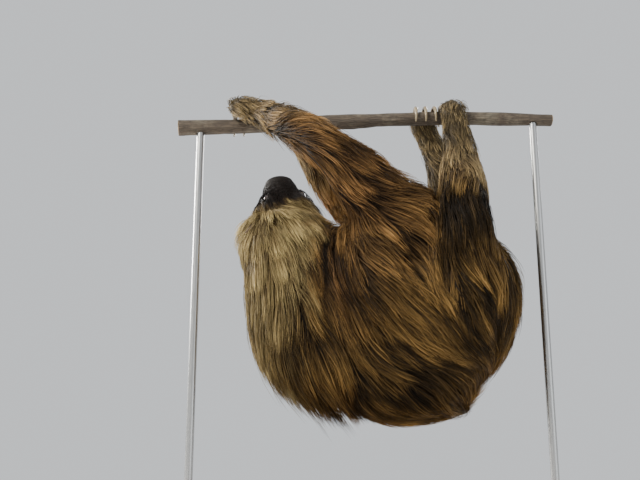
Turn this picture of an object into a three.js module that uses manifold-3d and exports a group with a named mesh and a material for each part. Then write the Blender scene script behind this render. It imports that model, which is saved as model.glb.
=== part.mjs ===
// A life-size two-toed sloth that hangs by its claws from a cut length of branch, as a still display model.
// The solids reach to the tips of the coat. Units are millimetres, +Z is up, the head is towards -X, and the
// origin is the middle of the underside of the stand's base. The animal's right side faces -Y.
import * as THREE from "three";
import { mergeVertices } from "three/addons/utils/BufferGeometryUtils.js";
import Module from "manifold-3d";

const wasm = await Module();
wasm.setup();

const at = (x, y, z) => new THREE.Vector3(x, y, z);
const sawGap = 0.4; // width of the thin cuts that part the body
const fitGap = 0.35; // clearance between pieces that touch

// ---- Driving dimensions -------------------------------------------------------------------------------
const stand = { length: 520, depth: 340, thick: 20, bevel: 5, rodRadius: 5, rodAt: 214, pegDepth: 9 };
const perch = {
  left: -243, right: 239, height: 513, rise: 7, sway: 4, thickLeft: 10.5, thickRight: 8.6,
};
// The eyes and ears are placed in the head's own frame, described below.
const eye = { radius: 7.2, behindNose: 45, apart: 19.5, above: 16 };
const ear = { radius: at(11, 5, 13), behindNose: 78, apart: 48.5, above: 20, shift: 7.5, flare: 0.25 };
const nostril = { radius: at(5, 3.4, 2.6), behindNose: 0.5, apart: 6.5, above: 3.5 };
const mouth = { radius: 22, thick: 1.1, behindNose: 22, above: -9 };
const claw = {
  baseRadius: 4.2, tipRadius: 1.1, startRing: 16.2, endRing: 12.4, start: 20, sweep: 200, spread: 11, fan: 2,
};
const knots = [
  { x: -20, width: 12, height: 1.6 },
  { x: 178, width: 10, height: 1.3 },
];
const faceZone = { front: 15, depth: 53, width: 104, throat: -40, top: 56 }; // the short-haired part
const blend = { body: 20, face: 12 }; // reach of the smooth join between neighbouring masses
const swellHeight = 9; // how far the coat stands out round each shoulder and hip
const limbSides = 11;
const perchSides = 9;

// The boxes that the body's surface is worked out in, and the size of their cells: finer towards the face.
const grids = {
  trunk: { low: [-190, -175, 90], high: [235, 175, 470], cell: 27 },
  head: { low: [-185, -125, 270], high: [-10, 85, 460], cell: 18 },
  face: { low: [-170, -75, 345], high: [-40, 65, 462], cell: 9 },
};

// ---- Landmarks of the body ----------------------------------------------------------------------------
// The near (right) and far (left) limbs are posed alike: raised from the trunk to hook over the branch.
// The grip is where along the branch the paw holds, and the lean is how far round it the knuckles lie.
const arms = {
  right: {
    root: at(34, -58, 364), bend: at(-56, -106, 442), end: at(-140, -26, 519),
    grip: -165, side: -1, lean: -48,
  },
  left: {
    root: at(22, 60, 364), bend: at(-12, 116, 424), end: at(-72, 42, 480),
    grip: -88, side: 1, lean: -96,
  },
};
const legs = {
  right: {
    root: at(113, -60, 292), bend: at(108, -86, 350), end: at(112, -38, 466),
    grip: 108, side: -1, lean: -92,
  },
  left: {
    root: at(112, 60, 292), bend: at(116, 88, 350), end: at(102, 42, 466),
    grip: 76, side: 1, lean: -92,
  },
};
const armThick = { root: 52, bend: 31.5, end: 23, knuckle: 18, finger: 11 };
const legThick = { root: 52, bend: 42, end: 29, knuckle: 19, finger: 12 };
const knuckleRing = 26; // distance of the knuckles from the middle of the branch
const fingerRing = 21;
const fingerTurn = 26; // degrees round the branch from the knuckles to the fingers

// The head has its own frame: forward to the nose, crown away from the throat, and left.
const nose = at(-114, 3, 440);
const forward = at(-0.19, 0.31, 0.93).normalize();
const left = at(-0.95, -0.2, -0.21).projectOnPlane(forward).normalize();
const crown = new THREE.Vector3().crossVectors(forward, left).normalize();
const inHead = (behind, aside, above) =>
  nose.clone().addScaledVector(forward, -behind).addScaledVector(left, aside).addScaledVector(crown, above);

// ---- The branch as a function of x --------------------------------------------------------------------
const alongPerch = (x) => (x - perch.left) / (perch.right - perch.left);
const perchRadius = (x) => THREE.MathUtils.lerp(perch.thickLeft, perch.thickRight, alongPerch(x));
function perchCentre(x) {
  const sway = perch.sway * Math.sin(alongPerch(x) * 5);
  const rise = perch.rise * Math.sin(alongPerch(x) * 3.6 - 0.9);
  return at(x, sway, perch.height + rise);
}

// A point on a ring round the branch: the angle runs from the top away from the paw's own side.
function aroundPerch(x, side, degrees, ring) {
  const a = THREE.MathUtils.degToRad(degrees);
  return perchCentre(x).add(at(0, -side * Math.sin(a) * ring, Math.cos(a) * ring));
}

// ---- Masses: each returns the distance from a point to its surface ------------------------------------
function bone(a, b, ra, rb) {
  const axis = b.clone().sub(a);
  const length2 = axis.lengthSq();
  const q = at(0, 0, 0);
  return (p) => {
    q.copy(p).sub(a);
    const t = THREE.MathUtils.clamp(q.dot(axis) / length2, 0, 1);
    return q.addScaledVector(axis, -t).length() - THREE.MathUtils.lerp(ra, rb, t);
  };
}

function ellipsoid(centre, radii, axes = [at(1, 0, 0), at(0, 1, 0), at(0, 0, 1)]) {
  const q = at(0, 0, 0);
  return (p) => {
    q.copy(p).sub(centre);
    const u = q.dot(axes[0]) / radii.x;
    const v = q.dot(axes[1]) / radii.y;
    const w = q.dot(axes[2]) / radii.z;
    const k0 = Math.hypot(u, v, w);
    return (k0 * (k0 - 1)) / Math.max(1e-9, Math.hypot(u / radii.x, v / radii.y, w / radii.z));
  };
}

const headAxes = [forward, left, crown];
const inHeadBlob = (behind, aside, above, radii) => ellipsoid(inHead(behind, aside, above), radii, headAxes);

function smoothUnion(masses, reach) {
  return (p) => {
    let d = masses[0](p);
    for (let i = 1; i < masses.length; i++) {
      const e = masses[i](p);
      const h = Math.max(reach - Math.abs(d - e), 0) / reach;
      d = Math.min(d, e) - (h * h * reach) / 4;
    }
    return d;
  };
}

const trunkMasses = [
  ellipsoid(at(20, 0, 290), at(94, 104, 94)), // chest
  ellipsoid(at(78, 0, 266), at(98, 110, 100)), // loin
  ellipsoid(at(112, 2, 280), at(75, 106, 92)), // rump
  ellipsoid(at(36, -5, 206), at(98, 84, 85)), // coat that hangs from the back
  ellipsoid(at(-30, -12, 216), at(72, 66, 63)), // coat between the back and the nape
];

const neckMasses = [
  bone(at(0, 2, 306), at(-90, -26, 300), 76, 50),
  ellipsoid(at(-103, -28, 306), at(57, 54, 62)), // coat behind the head
  ellipsoid(at(-77, -20, 254), at(76, 64, 85)), // coat that hangs from the nape
];

const headMasses = [
  inHeadBlob(97, 8, -4, at(64, 58, 52)), // braincase under long hair
  inHeadBlob(53, 0, 5, at(30, 24, 19)), // forehead
  bone(inHead(40, 0, -1), inHead(18, 0, -1), 20, 18),
  inHeadBlob(12, 0, 2, at(12, 18, 13)), // nose pad
  inHeadBlob(21, 0, -11, at(15, 13, 9)), // chin
  inHeadBlob(50, 19, -8, at(22, 15, 17)), // left cheek
  inHeadBlob(50, -19, -8, at(22, 15, 17)), // right cheek
];

// The swell of the coat round each shoulder and hip.
const evenly = (size) => at(size, size, size);
const swell = (limb, thick) => ellipsoid(limb.root, evenly(thick.root + swellHeight));
const swells = [
  swell(arms.right, armThick),
  swell(arms.left, armThick),
  swell(legs.right, legThick),
  swell(legs.left, legThick),
];

const bodyField = smoothUnion([...trunkMasses, ...neckMasses, ...swells, ...headMasses], blend.body);
const faceField = smoothUnion([...neckMasses, ...headMasses], blend.face);

// ---- Solids -------------------------------------------------------------------------------------------
function solid(geometry) {
  const bare = new THREE.BufferGeometry();
  bare.setAttribute("position", geometry.getAttribute("position").clone());
  bare.setIndex(geometry.index);
  const merged = mergeVertices(bare, 1e-4);
  const mesh = new wasm.Mesh({
    numProp: 3,
    vertProperties: merged.attributes.position.array,
    triVerts: new Uint32Array(merged.index.array),
  });
  return new wasm.Manifold(mesh);
}

function geometryOf(manifold) {
  const mesh = manifold.getMesh();
  const geometry = new THREE.BufferGeometry();
  geometry.setAttribute("position", new THREE.BufferAttribute(new Float32Array(mesh.vertProperties), 3));
  geometry.setIndex(new THREE.BufferAttribute(new Uint32Array(mesh.triVerts), 1));
  return geometry;
}

// Surface nets: one vertex in each cell that the surface crosses, slid onto the surface, and one quad across
// each crossed grid edge. The outermost layer counts as outside, so the result is always closed.
function polygonise(field, { low, high, cell: size }) {
  const n = [0, 1, 2].map((i) => Math.ceil((high[i] - low[i]) / size) + 3);
  const place = (i, j, k) => at(low[0] + (i - 1) * size, low[1] + (j - 1) * size, low[2] + (k - 1) * size);
  const index = (i, j, k) => i + n[0] * (j + n[1] * k);
  const value = new Float32Array(n[0] * n[1] * n[2]);
  for (let k = 0; k < n[2]; k++)
    for (let j = 0; j < n[1]; j++)
      for (let i = 0; i < n[0]; i++) {
        const edge = !i || !j || !k || i === n[0] - 1 || j === n[1] - 1 || k === n[2] - 1;
        value[index(i, j, k)] = edge ? size : field(place(i, j, k)) || 1e-6;
      }
  const steps = [at(1, 0, 0), at(0, 1, 0), at(0, 0, 1)];
  const corners = [0, 1, 2, 3, 4, 5, 6, 7].map((c) => [c & 1, (c >> 1) & 1, c >> 2]);
  const vertexOf = new Map();
  const points = [];
  for (let k = 0; k < n[2] - 1; k++)
    for (let j = 0; j < n[1] - 1; j++)
      for (let i = 0; i < n[0] - 1; i++) {
        const v = corners.map(([a, b, d]) => value[index(i + a, j + b, k + d)]);
        const inside = v.filter((d) => d < 0).length;
        if (!inside || inside === 8) continue;
        const sum = at(0, 0, 0);
        let crossings = 0;
        for (let c = 0; c < 8; c++)
          for (let axis = 0; axis < 3; axis++) {
            const e = c | (1 << axis);
            if (e === c || v[c] < 0 === v[e] < 0) continue;
            const [a, b, d] = corners[c];
            const share = v[c] / (v[c] - v[e]);
            sum.add(place(i + a, j + b, k + d).addScaledVector(steps[axis], share * size));
            crossings++;
          }
        vertexOf.set(index(i, j, k), points.length / 3);
        points.push(...settle(field, sum.divideScalar(crossings), size, low, high).toArray());
      }
  const faces = [];
  const stride = [1, n[0], n[0] * n[1]];
  for (let k = 0; k < n[2] - 1; k++)
    for (let j = 0; j < n[1] - 1; j++)
      for (let i = 0; i < n[0] - 1; i++)
        for (let axis = 0; axis < 3; axis++) {
          const ijk = [i, j, k];
          if (!ijk[(axis + 1) % 3] || !ijk[(axis + 2) % 3]) continue;
          const here = index(i, j, k);
          const a = value[here];
          const b = value[here + stride[axis]];
          if (a < 0 === b < 0) continue;
          const s = stride[(axis + 1) % 3];
          const t = stride[(axis + 2) % 3];
          const q = [here - s - t, here - t, here, here - s].map((c) => vertexOf.get(c));
          if (a > 0) q.reverse();
          faces.push(...splitQuad(q, points));
        }
  const geometry = new THREE.BufferGeometry();
  geometry.setAttribute("position", new THREE.BufferAttribute(new Float32Array(points), 3));
  return geometry.setIndex(faces);
}

// Moves a point along the field's slope onto the surface, by at most part of a cell.
function settle(field, p, size, low, high) {
  const rim = [p.x - low[0], p.y - low[1], p.z - low[2], high[0] - p.x, high[1] - p.y, high[2] - p.z];
  if (Math.min(...rim) < size) return p;
  const h = 0.5;
  for (let round = 0; round < 3; round++) {
    const slope = at(
      field(at(p.x + h, p.y, p.z)) - field(at(p.x - h, p.y, p.z)),
      field(at(p.x, p.y + h, p.z)) - field(at(p.x, p.y - h, p.z)),
      field(at(p.x, p.y, p.z + h)) - field(at(p.x, p.y, p.z - h)),
    ).normalize();
    p.addScaledVector(slope, -THREE.MathUtils.clamp(field(p), -size / 4, size / 4));
  }
  return p;
}

function splitQuad(q, points) {
  const p = q.map((v) => at(points[3 * v], points[3 * v + 1], points[3 * v + 2]));
  return p[0].distanceTo(p[2]) < p[1].distanceTo(p[3])
    ? [q[0], q[1], q[2], q[0], q[2], q[3]]
    : [q[0], q[1], q[3], q[1], q[2], q[3]];
}

// A closed tube of round sections through the given points, with a radius or a radius by angle at each.
function taperedTube(points, radii, sides) {
  const vertices = [];
  const faces = [];
  const last = points.length - 1;
  let normal = at(0.2, 1, 0.1);
  points.forEach((p, i) => {
    const along = points[Math.min(i + 1, last)].clone().sub(points[Math.max(i - 1, 0)]).normalize();
    normal = normal.projectOnPlane(along).normalize();
    const binormal = along.clone().cross(normal);
    for (let s = 0; s < sides; s++) {
      const a = (2 * Math.PI * s) / sides;
      const radius = typeof radii[i] === "function" ? radii[i](a) : radii[i];
      const rim = normal.clone().multiplyScalar(Math.cos(a)).addScaledVector(binormal, Math.sin(a));
      vertices.push(...p.clone().addScaledVector(rim, radius).toArray());
    }
  });
  vertices.push(...points[0].toArray(), ...points[last].toArray());
  const cap = points.length * sides;
  for (let s = 0; s < sides; s++) {
    const t = (s + 1) % sides;
    for (let i = 0; i < last; i++) {
      const a = i * sides + s;
      const b = i * sides + t;
      faces.push(a, b, b + sides, a, b + sides, a + sides);
    }
    faces.push(cap, t, s, cap + 1, last * sides + s, last * sides + t);
  }
  const geometry = new THREE.BufferGeometry();
  geometry.setAttribute("position", new THREE.BufferAttribute(new Float32Array(vertices), 3));
  return geometry.setIndex(faces);
}

function turnTo(geometry, from, to, centre) {
  geometry.applyQuaternion(new THREE.Quaternion().setFromUnitVectors(from, to));
  return geometry.translate(centre.x, centre.y, centre.z);
}

// ---- Thin cuts ----------------------------------------------------------------------------------------
// Each is a disc across a joint: where it lies, which way it faces, and how far it reaches.
const saw = (centre, facing, reach) => ({ centre, facing: facing.clone().normalize(), reach });
const between = (a, b, share, reach) => saw(a.clone().lerp(b, share), b.clone().sub(a), reach);

const sawDisc = ({ centre, facing, reach }) =>
  solid(turnTo(new THREE.CylinderGeometry(reach, reach, sawGap, 28), at(0, 1, 0), facing, centre));

const saws = {
  snout: saw(inHead(29, 0, 0), forward, 60),
  neck: saw(at(-104, -42, 316), forward, 150),
  collar: saw(at(-32, -8, 270), at(-1, -0.12, 0.12), 190),
  ribs: saw(at(44, 0, 260), at(1, 0, 0), 190),
  hips: saw(at(104, 0, 260), at(1, 0, 0), 190),
};

function cut(whole, discs) {
  return discs.reduce((rest, disc) => rest.subtract(sawDisc(disc)), whole).decompose();
}

const clearOf = (whole, tools) => tools.reduce((rest, tool) => rest.subtract(tool), whole);

// The piece of a parted body that holds the seed point.
function holding(pieces, seed) {
  const probe = solid(new THREE.TetrahedronGeometry(0.8).translate(seed.x, seed.y, seed.z));
  const found = pieces.filter((piece) => !piece.intersect(probe).isEmpty());
  if (found.length !== 1) throw new Error("a seed lies in " + found.length + " pieces: " + seed.toArray());
  return found[0];
}

// ---- Materials ----------------------------------------------------------------------------------------
const finish = (name, colour, roughness, metalness = 0) =>
  Object.assign(new THREE.MeshStandardMaterial({ color: colour, roughness, metalness }), { name });
const materials = {
  paleCoat: finish("paleCoat", 0xb5a67c, 0.9),
  brownCoat: finish("brownCoat", 0x6f5135, 0.9),
  limbCoat: finish("limbCoat", 0x7d6448, 0.9),
  snoutSkin: finish("snoutSkin", 0x2b2220, 0.55),
  eyeball: finish("eyeball", 0x1c0f0a, 0.08),
  earSkin: finish("earSkin", 0x6b5444, 0.8),
  horn: finish("horn", 0x6e6252, 0.4),
  bark: finish("bark", 0x5e5247, 0.85),
  standWood: finish("standWood", 0x4a3a2c, 0.5),
  standSteel: finish("standSteel", 0x9a9a98, 0.35, 1),
};

// ---- Pieces -------------------------------------------------------------------------------------------
const model = new THREE.Group();
function add(name, manifold, material) {
  const mesh = new THREE.Mesh(geometryOf(manifold), material);
  mesh.name = name;
  model.add(mesh);
}

function ball(centre, radii, axes, detail = 1) {
  const geometry = new THREE.IcosahedronGeometry(1, detail).scale(radii.x, radii.y, radii.z);
  geometry.applyMatrix4(new THREE.Matrix4().makeBasis(...axes));
  return solid(geometry.translate(centre.x, centre.y, centre.z));
}

// A claw sweeps from the knuckle over the branch and down the other side, closing in on it as it tapers.
function clawSolid(limb, order, count, grow) {
  const fromMiddle = order - (count - 1) / 2;
  const steps = 7;
  const points = [];
  const radii = [];
  for (let i = 0; i <= steps; i++) {
    const t = i / steps;
    const x = limb.grip + fromMiddle * (claw.spread + claw.fan * t);
    const ring = THREE.MathUtils.lerp(claw.startRing, claw.endRing, t ** 0.8);
    points.push(aroundPerch(x, limb.side, limb.lean + claw.start + claw.sweep * t, ring));
    radii.push(THREE.MathUtils.lerp(claw.baseRadius, claw.tipRadius, t ** 1.3) + grow);
  }
  return solid(taperedTube(points, radii, 6));
}

function perchSolid(grow) {
  const steps = 15;
  const points = [];
  const radii = [];
  for (let i = 0; i <= steps; i++) {
    const x = THREE.MathUtils.lerp(perch.left, perch.right, i / steps);
    points.push(perchCentre(x));
    const knot = knots.reduce((sum, k) => sum + k.height * Math.exp(-(((x - k.x) / k.width) ** 2)), 0);
    const ripple = (a) => 0.35 * Math.sin(2 * a + x / 30);
    radii.push((a) => perchRadius(x) + grow + knot * (0.6 + 0.4 * Math.cos(a)) + ripple(a));
  }
  return solid(taperedTube(points, radii, perchSides));
}

// A whole limb, from inside the trunk to the fingers, as one tapering round-ended tube.
function limbSolid(limb, thick, grow) {
  const knuckle = aroundPerch(limb.grip, limb.side, limb.lean, knuckleRing);
  const finger = aroundPerch(limb.grip, limb.side, limb.lean + fingerTurn, fingerRing);
  const joints = [limb.root, limb.bend, limb.end, knuckle, finger];
  const curve = new THREE.CatmullRomCurve3(joints, false, "centripetal");
  const stations = [thick.root, thick.bend, thick.end, thick.knuckle, thick.finger];
  const stepsIn = [3, 4, 3, 2];
  const points = [limb.root.clone().addScaledVector(curve.getTangent(0), -thick.root * 0.7 - grow)];
  const radii = [thick.root * 0.6 + grow];
  stepsIn.forEach((steps, k) => {
    for (let i = 0; i < steps; i++) {
      const t = i / steps;
      points.push(curve.getPoint((k + t) / stepsIn.length));
      radii.push(THREE.MathUtils.lerp(stations[k], stations[k + 1], t) + grow);
    }
  });
  const out = curve.getTangent(1);
  for (const [reach, share] of [[0, 1], [0.6, 0.8], [1, 0.4]]) {
    points.push(finger.clone().addScaledVector(out, (thick.finger + grow) * reach));
    radii.push((thick.finger + grow) * share);
  }
  return solid(taperedTube(points, radii, limbSides));
}

// The limb is parted at its two lower joints. It clears the branch, its own claws and the other solids given.
function addLimb(names, limb, thick, clawCount, others) {
  const order = [...Array(clawCount).keys()];
  const upward = limb.bend.clone().sub(limb.root).normalize();
  const elbow = saw(limb.bend, limb.end.clone().sub(limb.bend).normalize().add(upward), 110);
  const wrist = between(limb.end, limb.bend, 0.04, 50);
  let whole = limbSolid(limb, thick, 0).subtract(perchSolid(fitGap));
  whole = clearOf(whole, [...others, ...order.map((i) => clawSolid(limb, i, clawCount, fitGap))]);
  const pieces = cut(whole, [elbow, wrist]);
  const knuckle = aroundPerch(limb.grip, limb.side, limb.lean, knuckleRing);
  const seeds = [
    limb.root.clone().lerp(limb.bend, 0.5),
    limb.bend.clone().lerp(limb.end, 0.5),
    knuckle.lerp(limb.end, 0.4),
  ];
  seeds.forEach((seed, k) => add(names[k], holding(pieces, seed), materials.limbCoat));
  order.forEach((i) => add(names[2] + "_claw_" + (i + 1), clawSolid(limb, i, clawCount, 0), materials.horn));
}

const pocket = {
  rightArm: limbSolid(arms.right, armThick, sawGap),
  leftArm: limbSolid(arms.left, armThick, sawGap),
  rightLeg: limbSolid(legs.right, legThick, sawGap),
  leftLeg: limbSolid(legs.left, legThick, sawGap),
};
const limbPockets = Object.values(pocket);

function addTrunk() {
  const whole = solid(polygonise(bodyField, grids.trunk));
  const pieces = cut(clearOf(whole, limbPockets), [saws.collar, saws.ribs, saws.hips]);
  const napeSeed = at(-80, -25, 262);
  add("neck", holding(cut(holding(pieces, napeSeed), [saws.neck]), napeSeed), materials.paleCoat);
  add("chest", holding(pieces, at(10, 0, 240)), materials.brownCoat);
  add("loin", holding(pieces, at(78, 0, 230)), materials.brownCoat);
  add("rump", holding(pieces, at(150, 0, 250)), materials.brownCoat);
}

// The block of space that holds the face and snout, in the head's frame.
function faceBlock(grow) {
  const { front, depth, width, throat, top } = faceZone;
  const block = new THREE.BoxGeometry(front + depth + grow, width + 2 * grow, top - throat + 2 * grow);
  block.translate((front - depth - grow) / 2, 0, (top + throat) / 2);
  block.applyMatrix4(new THREE.Matrix4().makeBasis(...headAxes));
  return solid(block.translate(nose.x, nose.y, nose.z));
}

function addHead() {
  const whole = solid(polygonise(bodyField, grids.head));
  const headSeed = inHead(85, 0, 0);
  const front = holding(cut(clearOf(whole, limbPockets), [saws.collar]), headSeed);
  let head = holding(cut(front.subtract(faceBlock(sawGap)), [saws.neck]), headSeed);
  const detailed = solid(polygonise(faceField, grids.face));
  const fine = cut(detailed.intersect(faceBlock(0)), [saws.snout]);
  let face = holding(fine, inHead(42, 0, 0));
  let snout = holding(fine, inHead(18, 0, 0));
  for (const [name, side] of [["left", 1], ["right", -1]]) {
    const centre = inHead(eye.behindNose, side * eye.apart, eye.above);
    face = face.subtract(ball(centre, evenly(eye.radius + fitGap), headAxes, 2));
    add("eye_" + name, ball(centre, evenly(eye.radius), headAxes, 2), materials.eyeball);
    const earCentre = inHead(ear.behindNose, side * ear.apart + ear.shift, ear.above);
    const flare = crown.clone().multiplyScalar(ear.flare).addScaledVector(left, side).normalize();
    const earAxes = [forward, flare, new THREE.Vector3().crossVectors(forward, flare)];
    const earSolid = (grow) => ball(earCentre, ear.radius.clone().addScalar(grow), earAxes);
    head = head.subtract(earSolid(fitGap));
    add("ear_" + name, earSolid(0), materials.earSkin);
    const nostrilCentre = inHead(nostril.behindNose, side * nostril.apart, nostril.above);
    snout = snout.subtract(ball(nostrilCentre, nostril.radius, headAxes));
  }
  add("face", face, materials.snoutSkin);
  const slit = new THREE.CylinderGeometry(mouth.radius, mouth.radius, mouth.thick, 20);
  slit.applyMatrix4(new THREE.Matrix4().makeBasis(forward, crown, left.clone().negate()));
  slit.translate(...inHead(mouth.behindNose, 0, mouth.above).toArray());
  add("snout", snout.subtract(solid(slit)), materials.snoutSkin);
  add("head", head, materials.paleCoat);
}

function addPerchAndStand() {
  const plate = new THREE.Shape();
  const [w, d, b] = [stand.length / 2, stand.depth / 2, stand.bevel];
  plate.moveTo(-w, -d).lineTo(w, -d).lineTo(w, d).lineTo(-w, d).closePath();
  const base = new THREE.ExtrudeGeometry(plate, {
    depth: stand.thick - b,
    bevelThickness: b,
    bevelSize: b,
    bevelOffset: -b,
    bevelSegments: 1,
  });
  const block = new THREE.BoxGeometry(stand.length, stand.depth, stand.thick);
  let baseSolid = solid(base).intersect(solid(block.translate(0, 0, stand.thick / 2)));
  let perchWithHoles = perchSolid(0);
  for (const [name, side] of [["left", -1], ["right", 1]]) {
    const x = side * stand.rodAt;
    const foot = stand.thick - stand.pegDepth;
    const top = perchCentre(x).z + 1;
    const rod = (radius, from, to) => {
      const bar = new THREE.CylinderGeometry(radius, radius, to - from, 16).rotateX(Math.PI / 2);
      return solid(bar.translate(x, perchCentre(x).y, (from + to) / 2));
    };
    const bored = rod(stand.rodRadius + fitGap, foot - fitGap, top + fitGap);
    baseSolid = baseSolid.subtract(bored);
    perchWithHoles = perchWithHoles.subtract(bored);
    add("stand_rod_" + name, rod(stand.rodRadius, foot, top), materials.standSteel);
  }
  add("stand_base", baseSolid, materials.standWood);
  add("perch", perchWithHoles, materials.bark);
}

addHead();
addTrunk();
for (const side of ["right", "left"]) {
  const named = (...names) => names.map((name) => side + "_" + name);
  addLimb(named("upper_arm", "forearm", "hand"), arms[side], armThick, 2, []);
  addLimb(named("thigh", "shank", "foot"), legs[side], legThick, 3, [pocket[side + "Arm"]]);
}
addPerchAndStand();

export default model;
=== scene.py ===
import math
import bpy
import numpy as np
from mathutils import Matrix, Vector
from mathutils.bvhtree import BVHTree
from mathutils.kdtree import KDTree


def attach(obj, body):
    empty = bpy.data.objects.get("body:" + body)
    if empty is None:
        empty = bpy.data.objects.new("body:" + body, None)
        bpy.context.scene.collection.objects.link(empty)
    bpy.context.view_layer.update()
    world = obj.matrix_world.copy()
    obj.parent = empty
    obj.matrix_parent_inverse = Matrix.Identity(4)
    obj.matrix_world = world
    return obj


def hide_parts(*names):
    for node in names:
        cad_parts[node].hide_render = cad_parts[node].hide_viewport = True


# A life-size two-toed sloth hanging by its claws from a cut branch on a stand. Metres, +Z up, head towards -X.
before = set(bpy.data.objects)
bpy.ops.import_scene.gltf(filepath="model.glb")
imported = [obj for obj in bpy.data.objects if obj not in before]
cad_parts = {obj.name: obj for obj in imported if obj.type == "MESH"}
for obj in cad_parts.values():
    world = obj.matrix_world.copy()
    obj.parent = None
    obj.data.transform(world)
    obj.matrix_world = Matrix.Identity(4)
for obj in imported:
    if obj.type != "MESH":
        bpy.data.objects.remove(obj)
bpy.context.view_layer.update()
scene = bpy.context.scene
chance = np.random.default_rng(23)
bothSides = (1, -1)  # the animal's left and right


def makeActive(piece):
    bpy.ops.object.select_all(action="DESELECT")
    piece.select_set(True)
    bpy.context.view_layer.objects.active = piece


def sizeOf(v):
    return np.linalg.norm(v, axis=-1)


def unit(v):
    return v / np.maximum(sizeOf(v)[..., None], 1e-9)


def smoothStep(low, high, value):
    t = np.clip((value - low) / (high - low), 0, 1)
    return t * t * (3 - 2 * t)


def bell(*ratios):
    # 1 where every ratio is 0, falling away on all sides
    return np.exp(-sum(ratio**2 for ratio in ratios))


def within(windows, *values):
    # 1 where each value is past its own window, from low to high, and 0 before any of them
    return math.prod(smoothStep(*window, value) for window, value in zip(windows, values))


def srgb(red, green, blue):
    # a linear colour from 0-255 screen values
    parts = [c / 255 for c in (red, green, blue)]
    return tuple(c / 12.92 if c < 0.04045 else ((c + 0.055) / 1.055) ** 2.4 for c in parts) + (1,)


def readArray(items, field, size, kind=np.float32):
    values = np.zeros(len(items) * size, kind)
    items.foreach_get(field, values)
    return values.reshape(-1, size)


def pointsOf(piece):
    return readArray(piece.data.vertices, "co", 3).astype(float)


def normalsOf(piece):
    return readArray(piece.data.vertex_normals, "vector", 3).astype(float)


def setPoints(piece, co):
    piece.data.vertices.foreach_set("co", np.asarray(co, np.float32).ravel())
    piece.data.update()


def writeColour(piece, name, *channels):
    # a colour on each point; a single channel fills all four, and the last of two fills the rest
    if len(channels) > 1 or np.ndim(channels[0]) == 1:
        channels = [np.stack([channels[min(k, len(channels) - 1)] for k in range(4)], axis=1)]
    layer = piece.data.attributes.new(name, "FLOAT_COLOR", "POINT")
    layer.data.foreach_set("color", np.asarray(channels[0], np.float32).ravel())


def editMode(on):
    bpy.ops.object.mode_set(mode="EDIT" if on else "OBJECT")


def copyOfNode(node, name):
    # a merged copy of a CAD node, whose own mesh is loose triangles
    piece = bpy.data.objects.new(name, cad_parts[node].data.copy())
    piece.data.name = name
    piece.data.materials.clear()
    scene.collection.objects.link(piece)
    makeActive(piece)
    editMode(True)
    bpy.ops.mesh.select_all(action="SELECT")
    bpy.ops.mesh.remove_doubles(threshold=0.00002)
    bpy.ops.mesh.normals_make_consistent(inside=False)
    editMode(False)
    return piece


def applyModifier(piece, kind, **settings):
    makeActive(piece)
    modifier = piece.modifiers.new(kind.lower(), kind)
    for key, value in settings.items():
        setattr(modifier, key, value)
    bpy.ops.object.modifier_apply(modifier=modifier.name)


def remeshEvenly(piece, voxel, smoothing):
    makeActive(piece)
    piece.data.remesh_voxel_size = voxel
    piece.data.remesh_voxel_adaptivity = 0
    bpy.ops.object.voxel_remesh()
    applyModifier(piece, "SMOOTH", factor=0.5, iterations=smoothing)


def newBall(name, segments, rings):
    bpy.ops.mesh.primitive_uv_sphere_add(segments=segments, ring_count=rings, radius=1, location=(0, 0, 0))
    piece = bpy.context.active_object
    piece.name = piece.data.name = name
    bpy.ops.object.shade_smooth()
    return piece


def finishPiece(piece, material, slot, *nodes):
    piece.data.materials.append(material)
    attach(piece, "root")
    if nodes:
        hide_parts(*nodes)


class Nodes:
    # short ways to add shader nodes to a tree and join them
    def __init__(self, tree):
        self.tree = tree

    def put(self, node, inputs):
        for key, value in inputs.items():
            if isinstance(value, bpy.types.NodeSocket):
                self.tree.links.new(value, node.inputs[key])
            else:
                node.inputs[key].default_value = value
        return node

    def add(self, kind, inputs, **settings):
        node = self.tree.nodes.new("ShaderNode" + kind)
        for key, value in settings.items():
            setattr(node, key, value)
        return self.put(node, inputs)

    def math(self, operation, a, b=0.0, c=0.0, clamp=False):
        return self.add("Math", {0: a, 1: b, 2: c}, operation=operation, use_clamp=clamp).outputs[0]

    def mix(self, factor, a, b, blend="MIX"):
        return self.add("Mix", {0: factor, 6: a, 7: b}, data_type="RGBA", blend_type=blend).outputs[2]

    def darken(self, colour, amount):
        grey = self.add("CombineColor", {0: amount, 1: amount, 2: amount}).outputs[0]
        return self.mix(1.0, colour, grey, "MULTIPLY")

    def channels(self, name):
        # red, green, blue and alpha of a colour written on the points
        layer = self.add("Attribute", {}, attribute_name=name)
        return [*self.add("SeparateColor", {0: layer.outputs["Color"]}).outputs, layer.outputs["Alpha"]]

    def place(self, stretch=None):
        # where it is on the piece, drawn out along some axes
        spot = self.add("TexCoord", {}).outputs["Object"]
        return self.add("Mapping", {"Vector": spot, "Scale": stretch}).outputs[0] if stretch else spot

    def noise(self, where, scale, detail, **inputs):
        return self.add("TexNoise", {"Vector": where, "Scale": scale, "Detail": detail, **inputs}).outputs["Fac"]

    def cells(self, where, scale):
        node = self.add("TexVoronoi", {"Vector": where, "Scale": scale}, feature="DISTANCE_TO_EDGE")
        return node.outputs["Distance"]

    def bump(self, height, strength, distance):
        return self.add("Bump", {"Height": height, "Strength": strength, "Distance": distance}).outputs["Normal"]


def newMaterial(name, paint):
    # paint is given the tree and returns what goes into the shader
    material = bpy.data.materials.new(name)
    material.use_nodes = True
    n = Nodes(material.node_tree)
    n.put(material.node_tree.nodes["Principled BSDF"], paint(n))
    return material


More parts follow.
